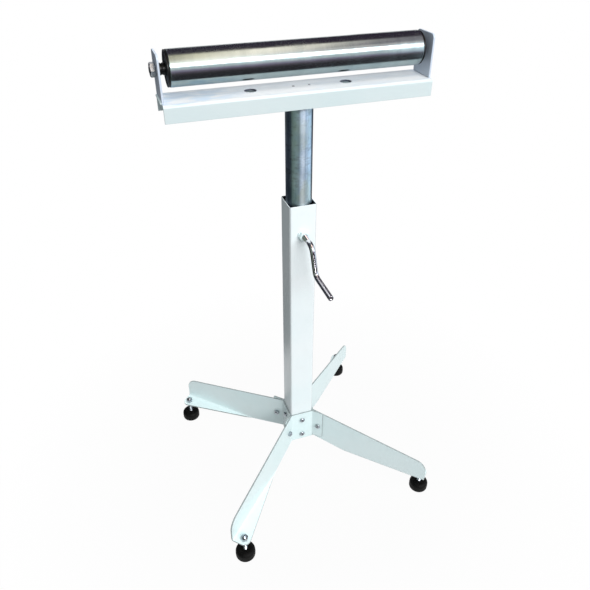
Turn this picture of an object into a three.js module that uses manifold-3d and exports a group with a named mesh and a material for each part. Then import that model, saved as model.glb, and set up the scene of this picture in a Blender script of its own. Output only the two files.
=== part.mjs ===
// Roller stand, in millimetres with +Z up. X runs along the roller and -Y is the clamp side.
// The origin is on the floor, under the axis of the column.
import * as THREE from 'three';
import { mergeVertices } from 'three/addons/utils/BufferGeometryUtils.js';
import Module from 'manifold-3d';

const wasm = await Module();
wasm.setup();

// Clearances
const SEAT_GAP = 0.3;
const POST_GAP = 0.5;
const HOLE_GAP = 0.4;
const CUT_PAST = 1;

// Feet: rubber pads on studs, with a nut on each side of the leg's foot flange
const PAD_DIAMETER = 40;
const PAD_HEIGHT = 22;
const PAD_BOTTOM_ROUND = 4;
const PAD_TOP_ROUND = 8;
const STUD_DIAMETER = 8;
const STUD_ROOT = 14;
const STUD_REACH = 27;
const STUD_TIP = 4;
const FOOT_NUT_FLATS = 13;
const FOOT_NUT_HEIGHT = 6.8;

// Legs: one blank each, folded into lap stub, column tab, web and foot flange
const LEG_SHEET = 3;
const LEG_BEND = 3;
const LEG_LENGTH = 266;
const LEG_TOP_SLOPE = 10;
const LEG_LOWER_SLOPE = 11.2;
const LEG_CORNER = 26;
const FLANGE_CORNER = 13;
const TAB_HEIGHT = 80;
const TAB_RISE = 19;
const STUB_LENGTH = 26;
const STUB_TRIM = 6;
const STUB_STEP = 0.3;

// Bolts through the tabs, and bolts with nuts through the laps
const BOLT_DIAMETER = 6;
const BOLT_HEAD = 12;
const BOLT_HEAD_HEIGHT = 4.5;
const BOLT_HEAD_WALL = 1.6;
const BOLT_END = 4;
const BOLT_NUT_FLATS = 10;
const BOLT_NUT_HEIGHT = 5;
const TAB_BOLT_LOW = 16;
const TAB_BOLT_SPACING = 44;
const LAP_BOLT_OUT = 15;
const LAP_BOLT_UP = 38;

// Column: square tube
const COLUMN_WIDTH = 50;
const COLUMN_WALL = 1.5;
const COLUMN_CORNER = 4;
const COLUMN_LENGTH = 587;

// Clamp: a bar bent into screw, crank arm and grip, in a welded nut
const CLAMP_DROP = 57;
const CLAMP_BAR = 10;
const CLAMP_NUT_FLATS = 17;
const CLAMP_NUT_HEIGHT = 9;
const CLAMP_STANDOFF = 45;
const CLAMP_ARM = 62.5;
const CLAMP_GRIP = 73;
const CLAMP_BEND = 13;
const CLAMP_TURN = 7.5;

// Post: round tube, set by the clamp with the head this far above the column
const POST_WALL = 2.5;
const POST_LENGTH = 545;
const HEAD_GAP = 169.5;

// Bracket: folded channel with an ear plate welded on each end
const BRACKET_SHEET = 3;
const BRACKET_BEND = 1.5;
const BRACKET_WIDTH = 70;
const BRACKET_DROP = 26.5;
const EAR_WIDTH = 52;
const EAR_RISE = 24;
const EAR_CORNER = 7;
const PLATE_HOLE = 18;
const PLATE_HOLE_OUT = 79;

// Roller: tube with end caps, bearings, spacers and a fixed axle
const ROLLER_DIAMETER = 52.5;
const ROLLER_WALL = 3;
const ROLLER_LENGTH = 400;
const ROLLER_GAP = 16.05;
const CAP_RIM = 3;
const CAP_INSET = 0.5;
const CAP_FACE = 3;
const CAP_SPIGOT = 14;
const CAP_MOUTH = 2;
const BEARING_DIAMETER = 32;
const BEARING_WIDTH = 10;
const BEARING_RING = 3;
const BEARING_SHIELD = 1;
const SPACER_DIAMETER = 17;
const SPACER_SHOWN = 11;
const AXLE_DIAMETER = 12;
const AXLE_NUT_FLATS = 19;
const AXLE_NUT_HEIGHT = 8;
const AXLE_TIP = 0.8;

// Facets of round forms
const ROUND = 40;
const SMALL_ROUND = 12;
const BEND_STEPS = 4;
const CORNER_STEPS = 6;
const DOME_STEPS = 4;
const CLAMP_STEP = 4;
const SAME_POINT = 1e-4;
const SAME_STATION = 1e-3;

// Heights and places that follow from the sizes above
const flangeUnder = PAD_HEIGHT + STUD_REACH;
const flangeTop = flangeUnder + LEG_SHEET;
const tabBottom = flangeUnder + TAB_RISE;
const tabTop = tabBottom + TAB_HEIGHT;
const tabBoltHeights = [tabBottom + TAB_BOLT_LOW, tabBottom + TAB_BOLT_LOW + TAB_BOLT_SPACING];
const lapBoltHeight = tabBottom + LAP_BOLT_UP;
const columnTop = tabBottom + COLUMN_LENGTH;
const clampHeight = columnTop - CLAMP_DROP;
const plateTop = columnTop + HEAD_GAP + BRACKET_DROP;
const plateUnder = plateTop - BRACKET_SHEET;
const axleHeight = plateTop + ROLLER_GAP + ROLLER_DIAMETER / 2;
const earTop = axleHeight + EAR_RISE;
const faceOut = COLUMN_WIDTH / 2;
const postRadius = faceOut - COLUMN_WALL - POST_GAP;
const capFace = ROLLER_LENGTH / 2 + SEAT_GAP + CAP_RIM;
const pocketEnd = capFace - CAP_FACE;
const bearingEnd = pocketEnd - SEAT_GAP;
const earInside = capFace + SPACER_SHOWN;
const earOutside = earInside + BRACKET_SHEET;

// Finishes
const finish = (color, roughness, metalness) => () =>
  new THREE.MeshStandardMaterial({ color, roughness, metalness });
const whitePaint = finish(0xe9f0f1, 0.4, 0);
const brightSteel = finish(0xc9ccce, 0.22, 1);
const postSteel = finish(0x8b99a5, 0.35, 0.9);
const zinc = finish(0xb4b9bd, 0.35, 1);
const chrome = finish(0xd6d8dc, 0.12, 1);
const blackPlastic = finish(0x141417, 0.45, 0);
const rubber = finish(0x0c0c0d, 0.8, 0);

// Cuts
function toSolid(geometry) {
  const bare = geometry.clone();
  bare.deleteAttribute('normal');
  bare.deleteAttribute('uv');
  const merged = mergeVertices(bare, SAME_POINT);
  const corners = [];
  const index = merged.index.array;
  for (let i = 0; i < index.length; i += 3) {
    const [a, b, c] = [index[i], index[i + 1], index[i + 2]];
    if (a !== b && b !== c && c !== a) corners.push(a, b, c);
  }
  const mesh = new wasm.Mesh({
    numProp: 3,
    vertProperties: new Float32Array(merged.attributes.position.array),
    triVerts: new Uint32Array(corners),
  });
  return new wasm.Manifold(mesh);
}

function toGeometry(solid) {
  const mesh = solid.getMesh();
  const geometry = new THREE.BufferGeometry();
  geometry.setAttribute('position', new THREE.BufferAttribute(new Float32Array(mesh.vertProperties), 3));
  geometry.setIndex(new THREE.BufferAttribute(new Uint32Array(mesh.triVerts), 1));
  geometry.computeVertexNormals();
  return geometry;
}

const cut = (shape, ...tools) =>
  toGeometry(tools.map(toSolid).reduce((a, b) => a.subtract(b), toSolid(shape)));

// Basic forms
const X = new THREE.Vector3(1, 0, 0);
const Y = new THREE.Vector3(0, 1, 0);
const Z = new THREE.Vector3(0, 0, 1);
const turned = (right, up, out) => new THREE.Matrix4().makeBasis(right, up, out);
const zAlongX = turned(Y, Z, X);
const zAlongFront = turned(X, Z, Y.clone().negate());

// A profile of [radius, height] points, counter-clockwise, turned about Z.
function revolve(profile, facets = ROUND) {
  const points = profile.map(([radius, height]) => new THREE.Vector2(radius, height));
  return new THREE.LatheGeometry(points, facets).rotateX(Math.PI / 2);
}

const ring = (inner, outer, low, high, facets = ROUND) =>
  revolve([[inner, low], [outer, low], [outer, high], [inner, high], [inner, low]], facets);

const rod = (radius, low, high, facets = SMALL_ROUND) =>
  revolve([[0, low], [radius, low], [radius, high], [0, high]], facets);

// Points of a quarter round in a profile, from the first angle to the second, in degrees.
function round(radius, height, size, from, to, steps = CORNER_STEPS) {
  return Array.from({ length: steps + 1 }, (_, i) => {
    const angle = THREE.MathUtils.degToRad(from + (to - from) * i / steps);
    return [radius + size * Math.cos(angle), height + size * Math.sin(angle)];
  });
}

function extrude(shape, depth) {
  return new THREE.ExtrudeGeometry(shape, { depth, bevelEnabled: false, curveSegments: BEND_STEPS / 2 });
}

function roundedSquare(width, corner) {
  const half = width / 2;
  const inset = half - corner;
  const shape = new THREE.Shape();
  shape.absarc(inset, inset, corner, 0, Math.PI / 2);
  shape.absarc(-inset, inset, corner, Math.PI / 2, Math.PI);
  shape.absarc(-inset, -inset, corner, Math.PI, Math.PI * 1.5);
  shape.absarc(inset, -inset, corner, Math.PI * 1.5, Math.PI * 2);
  shape.closePath();
  return shape;
}

// A hexagon nut standing on z = 0, with a round hole.
function nut(flats, height, hole) {
  const corner = flats / Math.sqrt(3);
  const points = Array.from({ length: 6 }, (_, i) => {
    const angle = i * Math.PI / 3;
    return new THREE.Vector2(corner * Math.cos(angle), corner * Math.sin(angle));
  });
  return cut(extrude(new THREE.Shape(points), height), rod(hole / 2, -CUT_PAST, height + CUT_PAST));
}

// A pan-head bolt, with the head's seat at z = 0 and the shank running down.
function bolt(shankLength) {
  const head = BOLT_HEAD / 2;
  const shank = BOLT_DIAMETER / 2;
  const dome = Array.from({ length: DOME_STEPS }, (_, i) => {
    const angle = i / DOME_STEPS * Math.PI / 2;
    return [head * Math.cos(angle), BOLT_HEAD_WALL + (BOLT_HEAD_HEIGHT - BOLT_HEAD_WALL) * Math.sin(angle)];
  });
  const profile = [[0, -shankLength], [shank, -shankLength], [shank, 0], [head, 0], ...dome];
  return revolve([...profile, [0, BOLT_HEAD_HEIGHT]], SMALL_ROUND);
}

// Leg blank. It is drawn flat, with u along the column's faces and s down from the tab's top edge, and is
// then folded about two upright lines into stub, tab and web, and about a level line into the foot flange.
const bendRadius = LEG_BEND + LEG_SHEET / 2;
const webOffset = (SEAT_GAP + LEG_SHEET) / 2;
const tabOut = faceOut + SEAT_GAP + LEG_SHEET / 2;
const foldTurn = Math.PI / 4;
const cornerAcross = tabOut - webOffset * Math.SQRT2;
const cornerReach = (cornerAcross + tabOut) / Math.SQRT2;
const bendTangent = bendRadius * Math.tan(foldTurn / 2);
const tabHalf = cornerAcross - bendTangent;
const bendLength = bendRadius * foldTurn;
const webStart = tabHalf + bendLength;
const legEnd = webStart + LEG_LENGTH - bendTangent;
const stubEnd = -(webStart + STUB_LENGTH - bendTangent);
const reachAt = (u) => cornerReach + bendTangent + u - webStart;
const foldDown = tabTop - (flangeUnder + LEG_SHEET / 2 + bendRadius);
const foldLength = bendRadius * Math.PI / 2;

// An edge of the blank that slopes down from the web's root and rounds into the leg's end.
// side is 1 where the sheet lies below the edge and -1 where it lies above.
function slopingEdge(depthAtRoot, slopeDegrees, corner, side) {
  const slope = THREE.MathUtils.degToRad(slopeDegrees);
  const line = (u) => depthAtRoot + (u - webStart) * Math.tan(slope);
  const centreAlong = legEnd - corner;
  const centreDown = line(centreAlong) + side * corner / Math.cos(slope);
  const tangent = centreAlong + side * corner * Math.sin(slope);
  const depth = (u) => u < tangent ? line(u)
    : centreDown - side * Math.sqrt(Math.max(0, corner ** 2 - (u - centreAlong) ** 2));
  const lead = Math.asin((tangent - centreAlong) / corner);
  const stations = Array.from({ length: CORNER_STEPS + 1 }, (_, i) => {
    return centreAlong + corner * Math.sin(lead + (Math.PI / 2 - lead) * i / CORNER_STEPS);
  });
  const reach = (down) => webStart + (down - depthAtRoot) / Math.tan(slope);
  return { depth, stations, reach, centreAlong, centreDown };
}

const legTopEdge = slopingEdge(0, LEG_TOP_SLOPE, LEG_CORNER, 1);
const legLowerEdge = slopingEdge(TAB_HEIGHT, LEG_LOWER_SLOPE, FLANGE_CORNER, -1);
const studReach = reachAt(legLowerEdge.centreAlong);
const studAside = webOffset + bendRadius + legLowerEdge.centreDown - foldDown - foldLength;

const blankTop = (u) => u > webStart ? legTopEdge.depth(u) : 0;

function blankBottom(u) {
  if (u > webStart) return legLowerEdge.depth(u);
  return u < -webStart ? TAB_HEIGHT - STUB_TRIM : TAB_HEIGHT;
}

// Place in plan of the sheet's middle at u, and the direction that points away from the column.
function planAt(u) {
  const side = u < 0 ? -1 : 1;
  const along = Math.abs(u);
  const turn = THREE.MathUtils.clamp((along - tabHalf) / bendLength, 0, 1) * foldTurn;
  const beyond = Math.max(0, along - webStart);
  const across = Math.min(along, tabHalf) + bendRadius * Math.sin(turn) + beyond * Math.cos(turn);
  const out = tabOut + bendRadius * (1 - Math.cos(turn)) + beyond * Math.sin(turn);
  const centre = new THREE.Vector3(-side * across, -out, 0);
  const away = new THREE.Vector3(side * Math.sin(turn), -Math.cos(turn), 0);
  return { centre, away };
}

// Point of the folded sheet at u and s, offset from the middle of the sheet by half its thickness.
function foldedPoint(u, s, offset) {
  const { centre, away } = planAt(u);
  const turn = THREE.MathUtils.clamp((s - foldDown) / foldLength, 0, 1) * Math.PI / 2;
  const beyond = Math.max(0, s - foldDown - foldLength);
  const aside = bendRadius - (bendRadius - offset) * Math.cos(turn) + beyond;
  const down = Math.min(s, foldDown) + (bendRadius - offset) * Math.sin(turn);
  return centre.addScaledVector(away, aside).setZ(tabTop - down);
}

function legSheet() {
  const shares = Array.from({ length: BEND_STEPS + 1 }, (_, i) => i / BEND_STEPS);
  const bendStations = shares.map((share) => tabHalf + bendLength * share);
  const folds = shares.map((share) => foldDown + foldLength * share);
  const stations = [
    stubEnd,
    -webStart - STUB_STEP,
    ...bendStations.map((u) => -u),
    ...bendStations,
    ...folds.map(legLowerEdge.reach),
    ...legTopEdge.stations,
    ...legLowerEdge.stations,
  ].sort((a, b) => a - b).filter((u, i, all) => i === 0 || u - all[i - 1] > SAME_STATION);

  const rows = stations.map((u) => {
    const bottom = blankBottom(u);
    const depths = [blankTop(u), ...folds.map((fold) => Math.min(fold, bottom)), bottom];
    return [LEG_SHEET / 2, -LEG_SHEET / 2].map((offset) => depths.map((s) => foldedPoint(u, s, offset)));
  });

  const points = [];
  const quad = (a, b, c, d) => points.push(a, b, c, a, c, d);
  const last = folds.length + 1;
  rows.slice(1).forEach((next, i) => {
    const [front, back] = rows[i];
    const [nextFront, nextBack] = next;
    for (let j = 0; j < last; j += 1) {
      quad(front[j], nextFront[j], nextFront[j + 1], front[j + 1]);
      quad(back[j], back[j + 1], nextBack[j + 1], nextBack[j]);
    }
    quad(front[0], back[0], nextBack[0], nextFront[0]);
    quad(front[last], nextFront[last], nextBack[last], back[last]);
  });
  const closeEnd = ([front, back], flip) => {
    for (let j = 0; j < last; j += 1) {
      const loop = [front[j], front[j + 1], back[j + 1], back[j]];
      quad(...(flip ? loop.reverse() : loop));
    }
  };
  closeEnd(rows[0], false);
  closeEnd(rows[rows.length - 1], true);
  return new THREE.BufferGeometry().setFromPoints(points);
}

// Directions at a lap: along the diagonal of this leg's web, and of the next leg's web under the stub.
const webAlong = new THREE.Vector3(-1, -1, 0).normalize();
const webAside = new THREE.Vector3(1, -1, 0).normalize();
const stubAlong = new THREE.Vector3(1, -1, 0).normalize();
const stubAside = new THREE.Vector3(1, 1, 0).normalize();
const zAlong = (direction) => new THREE.Matrix4().makeRotationFromQuaternion(
  new THREE.Quaternion().setFromUnitVectors(Z, direction));

const lapReach = cornerReach + LAP_BOLT_OUT;
const studPlace = webAlong.clone().multiplyScalar(studReach).addScaledVector(webAside, studAside);

function legGeometry() {
  const boltHole = rod(BOLT_DIAMETER / 2 + HOLE_GAP, -LEG_SHEET - CUT_PAST, LEG_SHEET + CUT_PAST);
  const onTab = tabBoltHeights.map((height) => {
    return boltHole.clone().applyMatrix4(zAlongFront).translate(0, -tabOut, height);
  });
  const onWeb = boltHole.clone().applyMatrix4(zAlong(webAside))
    .translate(webAlong.x * lapReach, webAlong.y * lapReach, lapBoltHeight);
  const onStub = boltHole.clone().applyMatrix4(zAlong(stubAside))
    .translate(stubAlong.x * lapReach, stubAlong.y * lapReach, lapBoltHeight);
  const onFlange = rod(STUD_DIAMETER / 2 + HOLE_GAP, flangeUnder - CUT_PAST, flangeTop + CUT_PAST)
    .translate(studPlace.x, studPlace.y, 0);
  return cut(legSheet(), ...onTab, onWeb, onStub, onFlange);
}

function padGeometry() {
  const radius = PAD_DIAMETER / 2;
  const hole = STUD_DIAMETER / 2 + SEAT_GAP;
  const floor = PAD_HEIGHT - STUD_ROOT - SEAT_GAP;
  return revolve([
    [0, 0],
    ...round(radius - PAD_BOTTOM_ROUND, PAD_BOTTOM_ROUND, PAD_BOTTOM_ROUND, -90, 0, BEND_STEPS),
    ...round(radius - PAD_TOP_ROUND, PAD_HEIGHT - PAD_TOP_ROUND, PAD_TOP_ROUND, 0, 90, BEND_STEPS),
    [hole, PAD_HEIGHT],
    [hole, floor],
    [0, floor],
  ], ROUND / 2);
}

function columnGeometry() {
  const section = roundedSquare(COLUMN_WIDTH, COLUMN_CORNER);
  section.holes.push(roundedSquare(COLUMN_WIDTH - 2 * COLUMN_WALL, COLUMN_CORNER - COLUMN_WALL));
  const tube = extrude(section, COLUMN_LENGTH).translate(0, 0, tabBottom);
  const boltHole = rod(BOLT_DIAMETER / 2 + HOLE_GAP, faceOut - COLUMN_WALL - CUT_PAST, faceOut + CUT_PAST)
    .applyMatrix4(zAlongFront);
  const boltHoles = [0, 1, 2, 3].flatMap((face) => tabBoltHeights.map((height) => {
    return boltHole.clone().rotateZ(face * Math.PI / 2).translate(0, 0, height);
  }));
  const clampHole = rod(CLAMP_BAR / 2 + HOLE_GAP, faceOut - COLUMN_WALL - CUT_PAST, faceOut + CUT_PAST)
    .applyMatrix4(zAlongFront).translate(0, 0, clampHeight);
  return cut(tube, ...boltHoles, clampHole);
}

// The clamp bar's middle line: out along the screw, round to the crank arm, and out again along the grip.
function clampGeometry() {
  const turn = THREE.MathUtils.degToRad(CLAMP_TURN);
  const tip = new THREE.Vector3(0, -postRadius - SEAT_GAP, clampHeight);
  const elbow = new THREE.Vector3(0, -faceOut - CLAMP_STANDOFF, clampHeight);
  const knee = new THREE.Vector3(Math.sin(turn), 0, -Math.cos(turn)).multiplyScalar(CLAMP_ARM).add(elbow);
  const end = knee.clone().setY(knee.y - CLAMP_GRIP);
  const before = (from, to) => to.clone().sub(from).setLength(to.distanceTo(from) - CLAMP_BEND).add(from);
  const after = (from, to) => to.clone().sub(from).setLength(CLAMP_BEND).add(from);
  const path = new THREE.CurvePath();
  path.add(new THREE.LineCurve3(tip, before(tip, elbow)));
  path.add(new THREE.QuadraticBezierCurve3(before(tip, elbow), elbow, after(elbow, knee)));
  path.add(new THREE.LineCurve3(after(elbow, knee), before(elbow, knee)));
  path.add(new THREE.QuadraticBezierCurve3(before(elbow, knee), knee, after(knee, end)));
  path.add(new THREE.LineCurve3(after(knee, end), end));
  const section = new THREE.Shape().absarc(0, 0, CLAMP_BAR / 2, 0, Math.PI * 2);
  const steps = Math.round(path.getLength() / CLAMP_STEP);
  return new THREE.ExtrudeGeometry(section, { steps, extrudePath: path, curveSegments: SMALL_ROUND / 2 });
}

// Bracket, with z = 0 at the top of its plate
function channelGeometry() {
  const half = BRACKET_WIDTH / 2;
  const outer = BRACKET_BEND + BRACKET_SHEET;
  const inset = half - outer;
  const shape = new THREE.Shape();
  shape.moveTo(half, -BRACKET_DROP);
  shape.absarc(inset, -outer, outer, 0, Math.PI / 2);
  shape.absarc(-inset, -outer, outer, Math.PI / 2, Math.PI);
  shape.lineTo(-half, -BRACKET_DROP);
  shape.lineTo(-half + BRACKET_SHEET, -BRACKET_DROP);
  shape.absarc(-inset, -outer, BRACKET_BEND, Math.PI, Math.PI / 2, true);
  shape.absarc(inset, -outer, BRACKET_BEND, Math.PI / 2, 0, true);
  shape.lineTo(half - BRACKET_SHEET, -BRACKET_DROP);
  shape.closePath();
  const channel = extrude(shape, 2 * earOutside).translate(0, 0, -earOutside).applyMatrix4(zAlongX);
  const hole = rod(PLATE_HOLE / 2, -BRACKET_SHEET - CUT_PAST, CUT_PAST, ROUND / 2);
  return cut(channel, ...[-1, 1].map((side) => hole.clone().translate(side * PLATE_HOLE_OUT, 0, 0)));
}

// An ear plate welded to the plate's end, drawn as its outline seen along the axle.
function earGeometry() {
  const half = EAR_WIDTH / 2;
  const top = earTop - plateTop;
  const shape = new THREE.Shape();
  shape.moveTo(-half, SEAT_GAP);
  shape.lineTo(half, SEAT_GAP);
  shape.absarc(half - EAR_CORNER, top - EAR_CORNER, EAR_CORNER, 0, Math.PI / 2);
  shape.absarc(EAR_CORNER - half, top - EAR_CORNER, EAR_CORNER, Math.PI / 2, Math.PI);
  shape.closePath();
  const plate = extrude(shape, BRACKET_SHEET).translate(0, 0, earInside);
  const hole = rod(AXLE_DIAMETER / 2 + HOLE_GAP, earInside - CUT_PAST, earOutside + CUT_PAST, ROUND / 2);
  return cut(plate, hole.translate(0, axleHeight - plateTop, 0));
}

// Roller pieces, turned about Z with z measured outwards from the middle of the roller
function capGeometry() {
  const rim = ROLLER_DIAMETER / 2 - CAP_INSET;
  const spigot = ROLLER_DIAMETER / 2 - ROLLER_WALL - SEAT_GAP;
  const rimStart = ROLLER_LENGTH / 2 + SEAT_GAP;
  const inner = rimStart - CAP_SPIGOT;
  const pocket = BEARING_DIAMETER / 2 + SEAT_GAP;
  const mouth = SPACER_DIAMETER / 2 + CAP_MOUTH;
  return revolve([
    [pocket, inner],
    [spigot, inner],
    [spigot, rimStart],
    [rim, rimStart],
    [rim, capFace],
    [mouth, capFace],
    [mouth, pocketEnd],
    [pocket, pocketEnd],
    [pocket, inner],
  ]);
}

const axleBore = AXLE_DIAMETER / 2 + SEAT_GAP;
const bearingStart = bearingEnd - BEARING_WIDTH;
const innerRace = axleBore + BEARING_RING;

function outerRingGeometry() {
  const outer = BEARING_DIAMETER / 2;
  const race = outer - BEARING_RING;
  const shield = innerRace + SEAT_GAP;
  return revolve([
    [shield, bearingStart],
    [outer, bearingStart],
    [outer, bearingEnd],
    [shield, bearingEnd],
    [shield, bearingEnd - BEARING_SHIELD],
    [race, bearingEnd - BEARING_SHIELD],
    [race, bearingStart + BEARING_SHIELD],
    [shield, bearingStart + BEARING_SHIELD],
    [shield, bearingStart],
  ], ROUND / 2);
}

// Assembly
const stand = new THREE.Group();

function add(group, name, geometry, makeMaterial) {
  const mesh = new THREE.Mesh(geometry, makeMaterial());
  mesh.name = name;
  group.add(mesh);
  return mesh;
}

add(stand, 'column', columnGeometry(), whitePaint);

// The leg is drawn with its tab on the clamp side and turned about the column for the other three.
['front_left', 'front_right', 'rear_right', 'rear_left'].forEach((place, quarter) => {
  const group = new THREE.Group();
  group.rotation.z = quarter * Math.PI / 2;
  stand.add(group);
  add(group, `leg_${place}`, legGeometry(), whitePaint);

  const headSeat = tabOut + LEG_SHEET / 2 + SEAT_GAP;
  const tabGrip = headSeat - faceOut + COLUMN_WALL + BOLT_END;
  ['lower', 'upper'].forEach((level, i) => {
    const mesh = add(group, `tab_bolt_${place}_${level}`, bolt(tabGrip), zinc);
    mesh.applyMatrix4(zAlongFront);
    mesh.position.set(0, -headSeat, tabBoltHeights[i]);
  });

  const lapHalf = SEAT_GAP / 2 + LEG_SHEET + SEAT_GAP;
  const lapPlace = stubAlong.clone().multiplyScalar(lapReach).setZ(lapBoltHeight);
  const lapBolt = add(group, `lap_bolt_${place}`, bolt(2 * lapHalf + BOLT_NUT_HEIGHT + BOLT_END / 2), zinc);
  lapBolt.applyMatrix4(zAlong(stubAside.clone().negate()));
  lapBolt.position.copy(lapPlace).addScaledVector(stubAside, -lapHalf);
  const lapNut = nut(BOLT_NUT_FLATS, BOLT_NUT_HEIGHT, BOLT_DIAMETER + 2 * SEAT_GAP);
  const lapNutMesh = add(group, `lap_nut_${place}`, lapNut, zinc);
  lapNutMesh.applyMatrix4(zAlong(stubAside));
  lapNutMesh.position.copy(lapPlace).addScaledVector(stubAside, lapHalf);

  const studTop = flangeTop + SEAT_GAP + FOOT_NUT_HEIGHT + STUD_TIP;
  const foot = new THREE.Group();
  foot.position.copy(studPlace);
  group.add(foot);
  add(foot, `foot_pad_${place}`, padGeometry(), rubber);
  add(foot, `foot_stud_${place}`, rod(STUD_DIAMETER / 2, PAD_HEIGHT - STUD_ROOT, studTop), zinc);
  const footNut = nut(FOOT_NUT_FLATS, FOOT_NUT_HEIGHT, STUD_DIAMETER + 2 * SEAT_GAP);
  add(foot, `foot_nut_${place}_upper`, footNut, zinc).position.z = flangeTop + SEAT_GAP;
  add(foot, `foot_nut_${place}_lower`, footNut, zinc).position.z = flangeUnder - SEAT_GAP - FOOT_NUT_HEIGHT;
});

const clampNut = nut(CLAMP_NUT_FLATS, CLAMP_NUT_HEIGHT, CLAMP_BAR + 2 * SEAT_GAP);
const clampNutMesh = add(stand, 'clamp_nut', clampNut, whitePaint);
clampNutMesh.applyMatrix4(zAlongFront);
clampNutMesh.position.set(0, -faceOut - SEAT_GAP, clampHeight);
add(stand, 'clamp_handle', clampGeometry(), chrome);

const postTop = plateUnder - SEAT_GAP;
add(stand, 'post', ring(postRadius - POST_WALL, postRadius, postTop - POST_LENGTH, postTop), postSteel);
add(stand, 'bracket_channel', channelGeometry(), whitePaint).position.z = plateTop;

const head = new THREE.Group();
head.position.z = axleHeight;
stand.add(head);
const rollerRadius = ROLLER_DIAMETER / 2;
const tube = ring(rollerRadius - ROLLER_WALL, rollerRadius, -ROLLER_LENGTH / 2, ROLLER_LENGTH / 2);
add(head, 'roller_tube', tube, brightSteel).applyMatrix4(zAlongX);
const axleEnd = earOutside + SEAT_GAP + AXLE_NUT_HEIGHT + AXLE_TIP;
add(head, 'axle', rod(AXLE_DIAMETER / 2, -axleEnd, axleEnd), zinc).applyMatrix4(zAlongX);

['right', 'left'].forEach((side, half) => {
  const end = new THREE.Group();
  end.rotation.z = half * Math.PI;
  head.add(end);
  const spacer = ring(axleBore, SPACER_DIAMETER / 2, bearingEnd + SEAT_GAP, earInside - SEAT_GAP, ROUND / 2);
  const innerRing = ring(axleBore, innerRace, bearingStart, bearingEnd, ROUND / 2);
  const axleNut = nut(AXLE_NUT_FLATS, AXLE_NUT_HEIGHT, AXLE_DIAMETER + 2 * SEAT_GAP)
    .translate(0, 0, earOutside + SEAT_GAP);
  const ear = earGeometry().translate(0, plateTop - axleHeight, 0);
  add(end, `ear_${side}`, ear, whitePaint).applyMatrix4(zAlongX);
  add(end, `roller_cap_${side}`, capGeometry(), blackPlastic).applyMatrix4(zAlongX);
  add(end, `bearing_outer_ring_${side}`, outerRingGeometry(), brightSteel).applyMatrix4(zAlongX);
  add(end, `bearing_inner_ring_${side}`, innerRing, brightSteel).applyMatrix4(zAlongX);
  add(end, `axle_spacer_${side}`, spacer, blackPlastic).applyMatrix4(zAlongX);
  add(end, `axle_nut_${side}`, axleNut, zinc).applyMatrix4(zAlongX);
});

export default stand;
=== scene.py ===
"""Roller stand: its looks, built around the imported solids. The frame is in metres, with +Z up."""
from math import cos, degrees, pi, radians, sin, sqrt, tan

import bmesh
import bpy
from mathutils import Matrix, Vector
from mathutils.geometry import delaunay_2d_cdt


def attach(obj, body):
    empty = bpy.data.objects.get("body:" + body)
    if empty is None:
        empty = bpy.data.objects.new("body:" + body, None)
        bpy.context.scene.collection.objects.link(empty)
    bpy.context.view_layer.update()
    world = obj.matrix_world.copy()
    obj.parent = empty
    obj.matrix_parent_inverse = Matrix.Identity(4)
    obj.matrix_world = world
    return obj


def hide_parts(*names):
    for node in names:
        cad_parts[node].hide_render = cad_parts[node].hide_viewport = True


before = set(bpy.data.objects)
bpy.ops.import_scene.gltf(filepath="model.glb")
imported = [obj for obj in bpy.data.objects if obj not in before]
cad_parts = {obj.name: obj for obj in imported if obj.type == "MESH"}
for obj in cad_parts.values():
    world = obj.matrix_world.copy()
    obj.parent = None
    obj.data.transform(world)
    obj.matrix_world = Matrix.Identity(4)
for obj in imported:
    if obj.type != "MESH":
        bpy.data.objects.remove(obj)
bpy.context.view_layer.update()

# Sizes are in millimetres, as on the stand's drawing. Meshes are scaled to metres when they are made.
MM = 0.001
SEAT_GAP = 0.3
HOLE_CLEARANCE = 0.4
PLACES = ("front_left", "front_right", "rear_right", "rear_left")
SIDES = ("right", "left")
FULL_TURN = 2 * pi
QUARTER = pi / 2

# Feet: the hollow and the seam are (radius or how far proud, height), the groove is (radius, depth)
PAD_RADIUS = 20
PAD_HEIGHT = 22
PAD_LOWER_ROUND = 4
PAD_UPPER_ROUND = 8
PAD_SEAM_PROUD = 0.25
PAD_HOLLOW = ((0, 1.4), (7, 1.4), (8.2, 0))
PAD_SEAM = ((0, 9.2), (PAD_SEAM_PROUD, 9.5), (PAD_SEAM_PROUD, 9.9), (0, 10.2))
PAD_GROOVE = ((8.6, 0), (8.2, 0.7), (7.2, 0.7), (6.8, 0))
STUD_RADIUS = 4
STUD_PITCH = 1.25
STUD_CORE = STUD_RADIUS - 0.62
STUD_LOW = 8
STUD_LOW_CHAMFER = 0.6
STUD_TOP_CHAMFER = 1.2
STUD_TIP = 4
STUD_THREAD_START = 1
STUD_THREAD_LESS = 2.6
FLANGE_UNDER = 49
FOOT_NUT_FLATS = 13
FOOT_NUT_HEIGHT = 6.8

# Legs
LEG_SHEET = 3
LEG_BEND = 3
LEG_LENGTH = 266
LEG_TOP_SLOPE = radians(10)
LEG_LOWER_SLOPE = radians(11.2)
LEG_CORNER = 26
FLANGE_CORNER = 13
TAB_HEIGHT = 80
TAB_TOP = 148
STUB_LENGTH = 26
STUB_TRIM = 6
STUB_STEP = 0.3
STUB_CORNER = 3
HOLE_RADIUS = 3.4

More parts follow.
